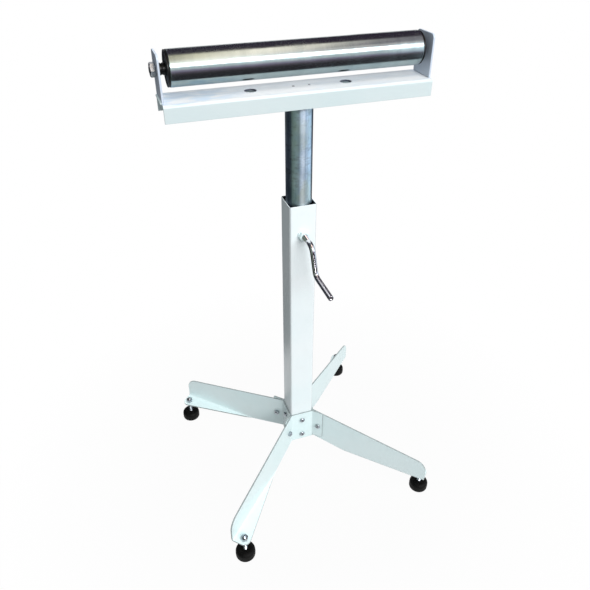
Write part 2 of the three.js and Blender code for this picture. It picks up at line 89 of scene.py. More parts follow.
# Bolts and nuts
BOLT_RADIUS = 3
BOLT_PITCH = 1.0
BOLT_CORE = BOLT_RADIUS - 0.45
BOLT_CHAMFER = 0.8
BOLT_HEAD_RADIUS = 6
BOLT_HEAD_HEIGHT = 4.5
BOLT_HEAD_WALL = 1.6
BOLT_END = 4
BOLT_NUT_FLATS = 10
BOLT_NUT_HEIGHT = 5
RECESS_WIDTH = 1.5
RECESS_ARM = 6.4
RECESS_FLOOR = 2.0
RECESS_TAPER = 0.55
TAB_BOLT_LOW = 84
TAB_BOLT_SPACING = 44
LAP_BOLT_OUT = 15
LAP_BOLT_HEIGHT = 106
NUT_MOUTH = 0.6
NUT_CHAMFER_SHARE = 0.95
NUT_CHAMFER_SLOPE = tan(radians(30))
THREAD_DEPTH_SHARE = 0.46

# Column, clamp and post
COLUMN_HALF = 25
COLUMN_WALL = 1.5
COLUMN_CORNER = 4
COLUMN_LOW = 68
COLUMN_TOP = 655
CLAMP_HEIGHT = 598
CLAMP_RADIUS = 5
CLAMP_PITCH = 1.5
CLAMP_CORE = CLAMP_RADIUS - 0.75
CLAMP_THREADED = 27.0
CLAMP_NUT_FLATS = 17
CLAMP_NUT_HEIGHT = 9
CLAMP_STANDOFF = 45
CLAMP_ARM = 62.5
CLAMP_GRIP = 73
CLAMP_BEND = 13
CLAMP_TURN = radians(7.5)
POST_RADIUS = 23
POST_WALL = 2.5
POST_LOW = 302.7
POST_TOP = 847.7

# Ends of the clamp bar: the shoulder and the grip's rounding are (along, less than the bar's radius), and the
# mark that the lathe leaves in the grip's end is (depth, radius)
BAR_TIP = 1.2
BAR_SHOULDER = ((0.6, 0.15), (0.9, 0))
BAR_END = ((1.0, 0), (0.35, 0.25), (0.08, 0.6), (0, 1.1))
BAR_MARK = ((0, 2.6), (0.25, 2.3), (0.9, 1.2))
BAR_MARK_DEPTH = 1.1

# Bracket
PLATE_TOP = 851
BRACKET_SHEET = 3
BRACKET_BEND = 1.5
BRACKET_HALF = 35
BRACKET_DROP = 26.5
PLATE_HOLE_RADIUS = 9
PLATE_HOLE_OUT = 79
# Spans on the plate, in millimetres: across it, where painted light lifts the rear strip; along it, where
# painted bluish shade grows towards the left end
PLATE_LIGHT_SPAN = (-15, 12)
PLATE_BLUE_SHADE_SPAN = (-90, -140)
AXLE_HEIGHT = 893.3
EAR_HALF = 26
EAR_TOP = 917.3
EAR_CORNER = 7
EAR_INSIDE = 214.3
EAR_OUTSIDE = 217.3

# Welds: the size of the drops, their spacing and a seed for their unevenness
POST_WELD = {"width": 4.6, "step": 2.0, "seed": 3}
POST_WELD_OUT = 0.6
POST_WELD_DOWN = 0.8
NUT_WELD = {"width": 3.6, "step": 1.7, "seed": 5}
NUT_WELD_OUT = 0.7
NUT_WELD_UP = 0.4
EAR_WELD = {"width": 4.2, "step": 2.1}
EAR_WELD_SEEDS = (12, 10)
EAR_WELD_HALF = 22.5
EAR_WELD_OUT = 0.1
DROP_FLATNESS = 0.8
DROP_SMALLEST = 0.86
DROP_LARGEST = 1.12

# Spots of weld on the plate: (place along it, radius), and a profile of (share of the radius, height)
WELD_SPOTS = ((-9.5, 2.6), (17.0, 2.2))
WELD_SPOT_BACK = 1.0
WELD_SPOT_PROFILE = ((0, 0.5), (0.4, 0.45), (0.8, 0.6), (1, -0.4), (0, -0.6))

# Roller: the grooves of the cap and the spacer are (along, depth)
ROLLER_RADIUS = 26.25
ROLLER_WALL = 3
ROLLER_HALF = 200
ROLLER_EDGE = 0.8
CAP_FACE = 203.3
CAP_INNER = 186.3
CAP_UNDERCUT = 0.5
CAP_GROOVE = ((1.0, 0), (1.1, 0.5), (1.7, 0.5), (1.8, 0))
CAP_LIP = 3.5
CAP_DISH = 1.0
CAP_DISH_SLOPE = 0.8
CAP_HUB = 3.0
CAP_MOUTH = 10.5
POCKET_END = 200.3
POCKET_RADIUS = 16.3
SPACER_RADIUS = 8.5
SPACER_GROOVE = ((4.4, 0), (4.9, 0.9), (6.1, 0.9), (6.6, 0))
AXLE_RADIUS = 6
AXLE_PITCH = 1.75
AXLE_CORE = AXLE_RADIUS - 0.75
AXLE_STEP = 206.0
AXLE_STEP_SLOPE = 0.6
AXLE_CHAMFER = 1.0
AXLE_END = 226.4
AXLE_THREAD_START = 1.5
AXLE_THREAD_LESS = 3.2
AXLE_NUT_FLATS = 19
AXLE_NUT_HEIGHT = 8

# Smoothness of curves, and the margins of the mesh work
ROUND = 96
FINE_ROUND = 192
SMALL_ROUND = 48
BEND_STEPS = 10
CORNER_STEPS = 18
EDGE_ROUND = 0.5
EDGE_STEPS = 3
EDGE_SHARE = 0.45
ROD_EDGE = 0.2
PAD_EDGE = 0.15
CAP_EDGE = 0.35
SOFT_EDGE = 0.4
THREAD_STEPS = 28
SHARP_ANGLE = radians(40)
MERGE_MARGIN = 1e-7
SPLIT_MARGIN = 1e-6
CREASE_MARGIN = 1e-5
HOLE_MARGIN = 0.01
FILL_INSIDE = 1

X = Vector((1, 0, 0))
Y = Vector((0, 1, 0))
Z = Vector((0, 0, 1))


# Node writing

class Value:
    """A socket of a node tree that can be used in Python sums. Each sum adds a Math node."""

    def __init__(self, tree, socket=None):
        self.tree = tree
        self.socket = socket

    def node(self, kind, settings=None, sockets=None, out=0):
        """Adds any node: its type, its settings, then the values or links of its sockets."""
        made = self.tree.nodes.new(kind)
        for key, setting in (settings or {}).items():
            if key == "stops":
                write_stops(made.color_ramp, setting)
            else:
                setattr(made, key, setting)
        for key, given in (sockets or {}).items():
            for one in given if isinstance(given, list) else [given]:
                if isinstance(one, Value):
                    self.tree.links.new(one.socket, made.inputs[key])
                else:
                    made.inputs[key].default_value = one
        return Value(self.tree, made.outputs[out] if len(made.outputs) else None)

    def output(self, out):
        """Another output of the node that this value comes from."""
        return Value(self.tree, self.socket.node.outputs[out])

    def sum(self, operation, first, second):
        return self.node("ShaderNodeMath", {"operation": operation}, {0: first, 1: second})

    def __add__(self, other):
        return self.sum("ADD", self, other)

    def __radd__(self, other):
        return self.sum("ADD", other, self)

    def __sub__(self, other):
        return self.sum("SUBTRACT", self, other)

    def __rsub__(self, other):
        return self.sum("SUBTRACT", other, self)

    def __mul__(self, other):
        return self.sum("MULTIPLY", self, other)

    def __rmul__(self, other):
        return self.sum("MULTIPLY", other, self)

    def __truediv__(self, other):
        return self.sum("DIVIDE", self, other)


def write_stops(ramp, stops):
    for place, _ in stops[len(ramp.elements):]:
        ramp.elements.new(place)
    for element, (place, colour) in zip(ramp.elements, stops):
        element.position = place
        element.color = opaque(colour)


# Finishes


def finish(name, fixed, vary):
    """A material: fixed values on the shader's own sockets, and what varies."""
    material = bpy.data.materials.new(name)
    material.use_nodes = True
    tree = material.node_tree
    shader = tree.nodes["Principled BSDF"]
    for socket, setting in fixed.items():
        shader.inputs[socket].default_value = setting
    place = Value(tree).node("ShaderNodeTexCoord", out="Object")
    for socket, value in vary(place).items():
        tree.links.new(value.socket, shader.inputs[socket])
    return material


def opaque(colour):
    return colour if isinstance(colour, Value) else (*colour, 1)


def grain(place, scale=1.0, detail=2.0, stretch=(1, 1, 1)):
    spread = place.node("ShaderNodeMapping", {}, {"Vector": place, "Scale": stretch})
    return place.node("ShaderNodeTexNoise", {}, {"Vector": spread, "Scale": scale, "Detail": detail})


def stripes(distance, scale, detail):
    sockets = {"W": distance, "Scale": scale, "Detail": detail}
    return distance.node("ShaderNodeTexNoise", {"noise_dimensions": "1D"}, sockets)


def along(place, axis):
    return place.node("ShaderNodeSeparateXYZ", {}, {0: place}, out=axis)


def mirrored(place):
    """The place with its distances made positive, so that one side stands for both."""
    return place.node("ShaderNodeVectorMath", {"operation": "ABSOLUTE"}, {0: place}, out="Vector")


def between(amount, first, second):
    sockets = {0: amount, 6: opaque(first), 7: opaque(second)}
    return amount.node("ShaderNodeMix", {"data_type": "RGBA"}, sockets, out=2)


def contrast(amount, low, high):
    """Stretches the range from low to high over 0 to 1."""
    return amount.node("ShaderNodeMapRange", {}, {0: amount, 1: low, 2: high})


def look(colour, roughness, height, depth, strength):
    normal = height.node("ShaderNodeBump", {}, {"Strength": strength, "Distance": depth, "Height": height})
    return {"Base Color": colour, "Roughness": roughness, "Normal": normal}


# Shades, from the deeper to the paler. The column's stands for the white paint; the legs', flanges', plate's
# and ears' are the same white paint, tinted or darkened as painted shade
# Painted shade: the legs' white paint tinted teal, as white looks in shade
LEG_SHADE_TINT = ((0.71, 0.86, 0.87), (0.765, 0.88, 0.89))
COLUMN_SHADES = ((0.775, 0.865, 0.88), (0.83, 0.885, 0.90))
# Painted shade: the flanges' white paint darkened
FLANGE_PAINTED_SHADE = ((0.565, 0.675, 0.69), (0.605, 0.69, 0.70))
# Painted shade: the plate's white paint darkened a little
PLATE_PAINTED_SHADE = ((0.74, 0.77, 0.785), (0.79, 0.80, 0.81))
# Painted shade: the ears' white paint darkened and blued
EAR_PAINTED_SHADE = ((0.52, 0.61, 0.72), (0.57, 0.64, 0.74))
ROLLER_SHADES = ((0.275, 0.345, 0.355), (0.36, 0.435, 0.445))
POST_SHADES = ((0.36, 0.50, 0.62), (0.74, 0.88, 1.0))
CHROME_SHADES = ((0.70, 0.69, 0.73), (0.84, 0.83, 0.86))
ZINC_SHADES = ((0.30, 0.33, 0.37), (0.50, 0.53, 0.57))
MOULDING_SHADES = ((0.003, 0.003, 0.003), (0.009, 0.009, 0.014))
RUBBER_SHADES = ((0.002, 0.002, 0.002), (0.02, 0.019, 0.018))
SCALE_SHADES = ((0.10, 0.10, 0.12), (0.42, 0.42, 0.44))

# Marks of use, and colours of painted light and shade
DUST = (0.62, 0.64, 0.62)
WORN_EDGE = (0.16, 0.18, 0.18)
# Painted shade: near black inside the column tube, over the bare steel
TUBE_INSIDE_SHADE = (0.018, 0.02, 0.028)
# Painted light: a paler, bluish white for the plate's rear strip
PLATE_PAINTED_LIGHT = (0.86, 0.92, 0.97)
# Painted shade: bluish patches on the plate
PLATE_BLUE_SHADE = (0.52, 0.66, 0.80)
# Painted shade: dark rims round the plate's holes
HOLE_PAINTED_SHADE = (0.02, 0.022, 0.06)
POST_OLIVE = (0.50, 0.59, 0.50)
POST_RUB = (0.17, 0.21, 0.25)
ZINC_STAIN = (0.34, 0.33, 0.28)


def coat_mottle(place):
    return grain(place, scale=7.0, detail=3.0)


def coat_dust(place):
    return contrast(grain(place, scale=38.0, detail=5.0), 0.52, 0.78)


def coat_colour(place, shades):
    """Two shades in a slow mottle, dulled by dust and worn thin along a sheet's cut edge."""
    cut_edge = place.node("ShaderNodeAttribute", {"attribute_name": "cut_edge"}, out="Fac")
    thin = cut_edge * (0.55 + 0.45 * grain(place, scale=160.0, detail=3.0))
    coat = between(contrast(coat_mottle(place), 0.35, 0.65), *shades)
    return between(thin, between(0.1 * coat_dust(place), coat, DUST), WORN_EDGE)


def coat_look(place, colour):
    roughness = 0.30 + 0.10 * coat_mottle(place) + 0.12 * coat_dust(place)
    peel = grain(place, scale=420.0, detail=1.0)
    return look(colour, roughness, peel, depth=0.00005, strength=0.12)


def vary_leg(place):
    return coat_look(place, coat_colour(place, LEG_SHADE_TINT))


def vary_column(place):
    """White outside; inside the tube, painted shade darkens the bare steel to near black."""
    across = mirrored(place)
    farther = across.sum("MAXIMUM", along(across, "X"), along(across, "Y"))
    skin_line = (COLUMN_HALF - 0.6 * COLUMN_WALL) * MM
    inside = contrast(farther, skin_line, skin_line - 0.3 * MM)
    return coat_look(place, between(inside, coat_colour(place, COLUMN_SHADES), TUBE_INSIDE_SHADE))


def vary_bracket(place):
    """Greyer on the flanges, as painted shade. Painted light lifts the plate's rear strip, painted bluish
    shade lies in patches on it, more towards its left end, and painted shade darkens round its holes.
    """
    behind = contrast(along(place, "Y"), *[at * MM for at in PLATE_LIGHT_SPAN])
    lit_plate = between(0.85 * behind, coat_colour(place, PLATE_PAINTED_SHADE), PLATE_PAINTED_LIGHT)
    # Painted bluish shade in patches, stronger towards the plate's left end
    patches = contrast(grain(place, scale=36.0, detail=6.0, stretch=(0.6, 1.6, 1)), 0.44, 0.6)
    left_shade = contrast(along(place, "X"), *[at * MM for at in PLATE_BLUE_SHADE_SPAN])
    plate = between((0.25 + 0.55 * left_shade) * patches, lit_plate, PLATE_BLUE_SHADE)
    on_plate = contrast(along(place, "Z"), (PLATE_TOP - 2.0) * MM, (PLATE_TOP - 0.3) * MM)
    coat = between(on_plate, coat_colour(place, FLANGE_PAINTED_SHADE), plate)
    # Painted shade: a dark, ragged ring round the rim of each hole
    centre = (PLATE_HOLE_OUT * MM, 0, PLATE_TOP * MM)
    sockets = {0: mirrored(place), 1: centre}
    from_hole = place.node("ShaderNodeVectorMath", {"operation": "DISTANCE"}, sockets, out="Value")
    ragged = from_hole + 1.6 * MM * grain(place, scale=300.0)
    hole_shade = contrast(ragged, (PLATE_HOLE_RADIUS + 1.7) * MM, (PLATE_HOLE_RADIUS + 1.2) * MM)
    return coat_look(place, between(0.9 * hole_shade, coat, HOLE_PAINTED_SHADE))


# The ears' white paint, darkened and blued as painted shade
def vary_ear(place):
    return coat_look(place, coat_colour(place, EAR_PAINTED_SHADE))


def vary_roller(place):
    """Fine rings of the lathe in broader bands, with smears."""
    length = along(place, "X")
    rings = stripes(length, scale=900.0, detail=4.0)
    bands = stripes(length, scale=46.0, detail=2.0)
    patches = grain(place, scale=16.0, detail=4.0, stretch=(0.5, 1, 1))
    tone = 0.55 * contrast(rings, 0.3, 0.7) + 0.45 * contrast(bands, 0.35, 0.65)
    roughness = 0.15 + 0.12 * contrast(patches, 0.42, 0.62) + 0.05 * rings
    return look(between(tone, *ROLLER_SHADES), roughness, rings, depth=0.00002, strength=0.25)


def vary_post(place):
    """Blue steel with upright streaks, olive clouds and dark rub marks round it."""
    streaks = grain(place, detail=4.0, stretch=(260, 260, 3))
    blotch = grain(place, scale=55.0, detail=5.0, stretch=(1, 1, 0.5))
    cloud = grain(place, scale=30.0, detail=3.0, stretch=(1, 1, 0.6))
    rub = contrast(grain(place, detail=5.0, stretch=(70, 70, 170)), 0.52, 0.68)
    tone = 0.6 * contrast(streaks, 0.38, 0.62) + 0.4 * contrast(blotch, 0.4, 0.6)
    clouded = between(0.6 * contrast(cloud, 0.47, 0.6), between(tone, *POST_SHADES), POST_OLIVE)
    roughness = 0.30 + 0.08 * blotch + 0.08 * rub
    return look(between(0.4 * rub, clouded, POST_RUB), roughness, streaks, depth=0.00002, strength=0.2)


def vary_chrome(place):
    patches = grain(place, scale=60.0, detail=4.0)
    scratch = grain(place, detail=3.0, stretch=(900, 60, 900))
    roughness = 0.07 + 0.10 * contrast(patches, 0.4, 0.8) + 0.04 * scratch
    return look(between(patches, *CHROME_SHADES), roughness, scratch, depth=0.00001, strength=0.3)


def vary_zinc(place):
    mottle = grain(place, scale=240.0, detail=4.0)
    stain = contrast(grain(place, scale=90.0, detail=3.0), 0.5, 0.8)
    colour = between(0.5 * stain, between(mottle, *ZINC_SHADES), ZINC_STAIN)
    return look(colour, 0.18 + 0.16 * mottle, mottle, depth=0.00003, strength=0.3)


def vary_moulding(place):
    grit = grain(place, scale=900.0)
    rub = contrast(grain(place, scale=50.0, detail=4.0), 0.5, 0.75)
    roughness = 0.30 + 0.16 * rub + 0.08 * grit
    return look(between(rub, *MOULDING_SHADES), roughness, grit, depth=0.00004, strength=0.5)


def vary_rubber(place):
    """Black, and dusty where it is close to the floor."""
    grit = grain(place, scale=700.0, detail=3.0)
    dust = contrast(grain(place, scale=60.0, detail=5.0), 0.48, 0.8)
    low = contrast(along(place, "Z"), 8 * MM, 0.0)
    colour = between(dust * (0.2 + 0.8 * low), *RUBBER_SHADES)
    return look(colour, 0.5 + 0.2 * dust + 0.08 * grit, grit, depth=0.00008, strength=0.5)


def vary_scale(place):
    crust = grain(place, scale=600.0, detail=4.0)
    return look(between(crust, *SCALE_SHADES), 0.5 + 0.3 * crust, crust, depth=0.0002, strength=0.6)


METAL = {"Metallic": 1.0}
TURNED = {"Metallic": 1.0, "Anisotropic": 0.85, "Anisotropic Rotation": 0.25}
GLAZE = {"Coat Weight": 0.25, "Coat Roughness": 0.35}
enamel = finish("white_enamel", GLAZE, vary_leg)
column_enamel = finish("column_enamel", GLAZE, vary_column)
bracket_enamel = finish("bracket_enamel", GLAZE, vary_bracket)
ear_enamel = finish("ear_enamel", GLAZE, vary_ear)
roller_steel = finish("turned_roller_steel", METAL, vary_roller)
post_steel = finish("turned_post_steel", TURNED, vary_post)
bar_chrome = finish("chromed_bar", METAL, vary_chrome)
zinc = finish("zinc_plate", METAL, vary_zinc)
moulding = finish("black_moulding", {"Specular IOR Level": 0.35}, vary_moulding)
rubber = finish("foot_rubber", {"Specular IOR Level": 0.12}, vary_rubber)
weld_scale = finish("spot_weld_scale", {}, vary_scale)


# Surfaces

def skin(rings, closed=False):
    """Points and faces over rings of points. A ring of one point closes the surface there."""
    points = []
    starts = []
    for ring in rings:
        starts.append((len(points), len(ring)))
        points.extend(ring)
    pairs = list(zip(starts, starts[1:]))
    if closed:
        pairs.append((starts[-1], starts[0]))
    faces = []
    for (first, first_count), (second, second_count) in pairs:
        count = max(first_count, second_count)
        for i in range(count):
            j = (i + 1) % count
            corners = [first + i % first_count, first + j % first_count,
                       second + j % second_count, second + i % second_count]
            faces.append(list(dict.fromkeys(corners)))
    return points, faces


def bent(start, corner, end, steps):
    """Points of a smooth bend from start to end, with its corner cut."""
    shares = [i / steps for i in range(steps + 1)]
    return [start.lerp(corner, share).lerp(corner.lerp(end, share), share) for share in shares]


def eased(profile, size=EDGE_ROUND, closed=False):
    """The profile with each corner rounded. An open profile keeps its two ends."""
    corners = [Vector(point) for point in profile]
    count = len(corners)
    made = []
    for i, corner in enumerate(corners):
        if not closed and i in (0, count - 1):
            made.append(corner)
            continue
        back = corners[i - 1] - corner
        ahead = corners[(i + 1) % count] - corner
        start = corner + back.normalized() * min(size, back.length * EDGE_SHARE)
        end = corner + ahead.normalized() * min(size, ahead.length * EDGE_SHARE)
        made += bent(start, corner, end, EDGE_STEPS)
    return made


def round_angles(facets):
    return [FULL_TURN * i / facets for i in range(facets)]


def circle(radius, height, facets):
    if radius == 0:
        return [Vector((0, 0, height))]
    return [Vector((radius * cos(a), radius * sin(a), height)) for a in round_angles(facets)]


def turned(profile, facets=ROUND, closed=False, size=EDGE_ROUND):
    """A profile of (radius, height) points, eased and turned about Z."""
    return skin([circle(r, h, facets) for r, h in eased(profile, size, closed)], closed)


def hexagon_nut(flats, height, hole):
    """A nut standing on z = 0, with a corner along X and its corners chamfered above and below."""
    flat = flats / 2
    chamfer = flat * NUT_CHAMFER_SHARE
    mouth = hole + NUT_MOUTH
    angles = round_angles(SMALL_ROUND)
    sides = [flat / cos(a % (pi / 3) - pi / 6) for a in angles]

    def ring(radii, heights):
        return [Vector((r * cos(a), r * sin(a), h)) for a, r, h in zip(angles, radii, heights)]

    def level(radius, at):
        return ring([radius] * SMALL_ROUND, [at] * SMALL_ROUND)

    drops = [(side - chamfer) * NUT_CHAMFER_SLOPE for side in sides]
    rings = [
        level(hole, mouth - hole),
        level(mouth, 0),
        level(chamfer, 0),
        ring(sides, drops),
        ring(sides, [height - drop for drop in drops]),
        level(chamfer, height),
        level(mouth, height),
        level(hole, height - mouth + hole),
    ]
    return skin(rings, closed=True)


def moved(surface, matrix):
    points, faces = surface
    return [matrix @ point for point in points], faces


def joined(*surfaces):
    points = []
    faces = []
    for more_points, more_faces in surfaces:
        start = len(points)
        points.extend(more_points)
        faces.extend([start + i for i in face] for face in more_faces)
    return points, faces


def basis(right, up, out):
    return Matrix((right, up, out)).transposed().to_4x4()


ALONG_X = basis(Y, Z, X)
ALONG_LEFT = basis(-Y, Z, -X)
ALONG_FRONT = basis(X, Z, -Y)


def heading(direction):
    return Z.rotation_difference(direction).to_matrix().to_4x4()


# Objects

def show(name, data):
    made = bpy.data.objects.new(name, data)
    bpy.context.scene.collection.objects.link(made)
    return made


def draw(name, surface, material, rim=None):
    """A mesh object at the origin, from a surface in millimetres. rim marks a sheet's cut edge."""
    points, faces = surface
    mesh = bpy.data.meshes.new(name)
    mesh.from_pydata([point * MM for point in points], [], faces)
    if rim:
        marks = mesh.attributes.new("cut_edge", "FLOAT", "POINT")
        marks.data.foreach_set("value", rim)
    shell = bmesh.new()
    shell.from_mesh(mesh)
    bmesh.ops.remove_doubles(shell, verts=shell.verts, dist=MERGE_MARGIN)
    bmesh.ops.dissolve_degenerate(shell, dist=MERGE_MARGIN, edges=shell.edges)
    bmesh.ops.recalc_face_normals(shell, faces=shell.faces)
    shell.to_mesh(mesh)
    shell.free()
    mesh.materials.append(material)
    mesh.polygons.foreach_set("use_smooth", [True] * len(mesh.polygons))
    return show(name, mesh)


def settle(made):
    """Turns what the modifiers give into a plain mesh with the piece's one material."""
    graph = bpy.context.evaluated_depsgraph_get()
    mesh = bpy.data.meshes.new_from_object(made.evaluated_get(graph), depsgraph=graph)
    material = made.data.materials[0]
    mesh.materials.clear()
    mesh.materials.append(material)
    made.modifiers.clear()
    made.data = mesh
    return made


def soften(made):
    """Keeps large faces flat in shading, and real corners sharp."""
    made.data.set_sharp_from_angle(angle=SHARP_ANGLE)
    weigh = made.modifiers.new("weigh", "WEIGHTED_NORMAL")
    weigh.keep_sharp = True
    return settle(made)


def hand_over(made, body, *nodes):
    """Gives a finished piece to the body that it moves with, and hides the solids that it stands for."""
    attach(made, body)
    if nodes:
        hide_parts(*nodes)


def piece(name, surface, material, body, *nodes, rim=None):
    """Draws a piece that needs nothing more, and hands it over."""
    hand_over(soften(draw(name, surface, material, rim)), body, *nodes)


# Geometry node trees

def node_tree(name, sizes):
    tree = bpy.data.node_groups.new(name, "GeometryNodeTree")
    for label, kind in {"Geometry": "Geometry", **sizes, "Finish": "Material"}.items():
        tree.interface.new_socket(label, in_out="INPUT", socket_type="NodeSocket" + kind)
    tree.interface.new_socket("Geometry", in_out="OUTPUT", socket_type="NodeSocketGeometry")
    entry = tree.nodes.new("NodeGroupInput")
    return tree, {socket.name: Value(tree, socket) for socket in entry.outputs if socket.name}


def close_tree(tree, given, geometry):
    solid = geometry.node("GeometryNodeRealizeInstances", {}, {"Geometry": geometry})
    dressed = solid.node("GeometryNodeSetMaterial", {}, {"Geometry": solid, "Material": given["Finish"]})
    dressed.node("NodeGroupOutput", {}, {"Geometry": dressed})
    return tree


def write_round_the_column():
    """Copies of one piece, turned about the column and stacked in levels."""
    tree, given = node_tree("round_the_column", {"Copies": "Int", "Levels": "Int", "Rise": "Float"})
    start = Value(tree)
    index = start.node("GeometryNodeInputIndex")
    copy = start.sum("FLOOR", index / given["Levels"], 0.0)
    level = start.sum("MODULO", index, given["Levels"])
    spots = start.node("GeometryNodePoints", {}, {
        "Count": given["Copies"] * given["Levels"],
        "Position": start.node("ShaderNodeCombineXYZ", {}, {"Z": level * given["Rise"]}),
    })
    copies = start.node("GeometryNodeInstanceOnPoints", {}, {
        "Points": spots,
        "Instance": given["Geometry"],
        "Rotation": start.node("ShaderNodeCombineXYZ", {}, {"Z": copy * FULL_TURN / given["Copies"]}),
    })
    return close_tree(tree, given, copies)


def write_screw_thread():
    """A thread wound on a plain rod: a four-sided ridge that follows a helix."""
    tree, given = node_tree("screw_thread", {
        "Radius": "Float", "Depth": "Float", "Pitch": "Float", "Turns": "Float",
        "Start": "Vector", "Turn": "Vector",
    })
    start = Value(tree)
    middle = given["Radius"] - given["Depth"]
    helix = start.node("GeometryNodeCurveSpiral", {}, {
        "Resolution": THREAD_STEPS, "Rotations": given["Turns"], "Start Radius": middle, "End Radius": middle,
        "Height": given["Pitch"] * given["Turns"],
    })
    upright = start.node("GeometryNodeSetCurveNormal", {"mode": "Z_UP"}, {"Curve": helix})
    ridge = start.node("GeometryNodeCurvePrimitiveCircle", {}, {"Resolution": 4, "Radius": given["Depth"]})
    wound = start.node("GeometryNodeCurveToMesh", {}, {
        "Curve": upright, "Profile Curve": ridge, "Fill Caps": True,
    })
    seated = start.node("GeometryNodeTransform", {}, {
        "Geometry": wound, "Translation": given["Start"], "Rotation": given["Turn"],
    })
    both = start.node("GeometryNodeJoinGeometry", {}, {0: [given["Geometry"], seated]})
    return close_tree(tree, given, both)


def write_weld_bead():
    """Overlapping drops of weld along a path of edges."""
    tree, given = node_tree("weld_bead", {"Width": "Float", "Step": "Float", "Seed": "Int"})
    start = Value(tree)
    path = start.node("GeometryNodeMeshToCurve", {}, {"Mesh": given["Geometry"]})
    sockets = {"Curve": path, "Length": given["Step"]}
    spots = start.node("GeometryNodeCurveToPoints", {"mode": "LENGTH"}, sockets)
    sockets = {"Radius": given["Width"] * 0.5, "Subdivisions": 3}
    drop = start.node("GeometryNodeMeshIcoSphere", {}, sockets)
    flat = start.node("GeometryNodeTransform", {}, {"Geometry": drop, "Scale": (1.0, 1.0, DROP_FLATNESS)})
    sockets = {2: DROP_SMALLEST, 3: DROP_LARGEST, "Seed": given["Seed"]}
    size = start.node("FunctionNodeRandomValue", {"data_type": "FLOAT"}, sockets, out=1)
    drops = start.node("GeometryNodeInstanceOnPoints", {}, {
        "Points": spots, "Instance": flat, "Rotation": spots.output("Rotation"), "Scale": size,
    })
    solid = start.node("GeometryNodeRealizeInstances", {}, {"Geometry": drops})
    smooth = start.node("GeometryNodeSetShadeSmooth", {}, {"Geometry": solid})
    return close_tree(tree, given, smooth)


round_the_column = write_round_the_column()
screw_thread = write_screw_thread()
weld_bead = write_weld_bead()


def grow(made, tree, material, **values):
    """Adds a tree to an object, with its inputs set by their identifiers."""
    modifier = made.modifiers.new(tree.name, "NODES")
    modifier.node_group = tree
    settings = {**values, "Finish": material}
    for item in tree.interface.items_tree:
        if item.in_out == "INPUT" and item.name in settings:
            modifier[item.identifier] = settings[item.name]
    return settle(made)


def thread(made, radius, pitch, start, length, turn=(0, 0, 0)):
    return grow(made, screw_thread, made.data.materials[0], Radius=radius * MM,
                Depth=pitch * THREAD_DEPTH_SHARE * MM, Pitch=pitch * MM, Turns=length / pitch,
                Start=[c * MM for c in start], Turn=turn)


def repeat(made, levels=1, rise=0.0):
    return grow(made, round_the_column, made.data.materials[0], Copies=4, Levels=levels, Rise=rise * MM)


def bead(name, path, width, step, seed, closed=False):
    mesh = bpy.data.meshes.new(name)
    links = [(i, i + 1) for i in range(len(path) - 1)]
    if closed:
        links.append((len(path) - 1, 0))
    mesh.from_pydata([point * MM for point in path], links, [])
    mesh.materials.append(enamel)
    return grow(show(name, mesh), weld_bead, enamel, Width=width * MM, Step=step * MM, Seed=seed)


# Sheet metal

def inset(loop, size):
    """Each point of a counter-clockwise loop moved inwards by size."""
    made = []
    for i, point in enumerate(loop):
        before = (point - loop[i - 1]).normalized()
        after = (loop[(i + 1) % len(loop)] - point).normalized()
        first = Vector((-before.y, before.x))
        second = Vector((-after.y, after.x))
        made.append(point + (first + second) * (size / (1 + first.dot(second))))
    return made


def split_at_creases(outer, inner, creases):
    """Adds a point to both loops wherever the inner one crosses a crease, given as (axis, place)."""
    for axis, at in creases:
        new_outer = []
        new_inner = []
        count = len(inner)
        for i in range(count):
            j = (i + 1) % count
            new_outer.append(outer[i])
            new_inner.append(inner[i])
            here = inner[i][axis] - at
            there = inner[j][axis] - at
            if here * there < 0 and min(abs(here), abs(there)) > SPLIT_MARGIN:
                share = here / (here - there)
                new_outer.append(outer[i].lerp(outer[j], share))
                new_inner.append(inner[i].lerp(inner[j], share))
        outer = new_outer
        inner = new_inner
    return outer, inner


def in_a_hole(point, holes):
    """True for a triangle's middle inside one of the holes, up to where the hole's eased edge starts."""
    return any((point - centre).length < radius + EDGE_ROUND - HOLE_MARGIN for centre, radius in holes)


def fill_flat(pairs, starts, creases, holes):
    """Triangles between the inner loops, with an edge along each crease, and where each loop's point went."""
    flat = [point for _, inner in pairs for point in inner]
    links = []
    for (_, inner), start in zip(pairs, starts):
        links += [(start + i, start + (i + 1) % len(inner)) for i in range(len(inner))]
    for axis, at in creases:
        on_crease = [i for i, point in enumerate(flat) if abs(point[axis] - at) < CREASE_MARGIN]
        on_crease.sort(key=lambda i: flat[i][1 - axis])
        links += list(zip(on_crease[::2], on_crease[1::2]))
    laid, _, triangles, sources, _, _ = delaunay_2d_cdt(flat, links, [], FILL_INSIDE, MERGE_MARGIN)
    middles = [sum((laid[i] for i in triangle), Vector((0, 0))) / 3 for triangle in triangles]
    kept = [triangle for triangle, middle in zip(triangles, middles) if not in_a_hole(middle, holes)]
    return laid, kept, {source: i for i, found in enumerate(sources) for source in found}


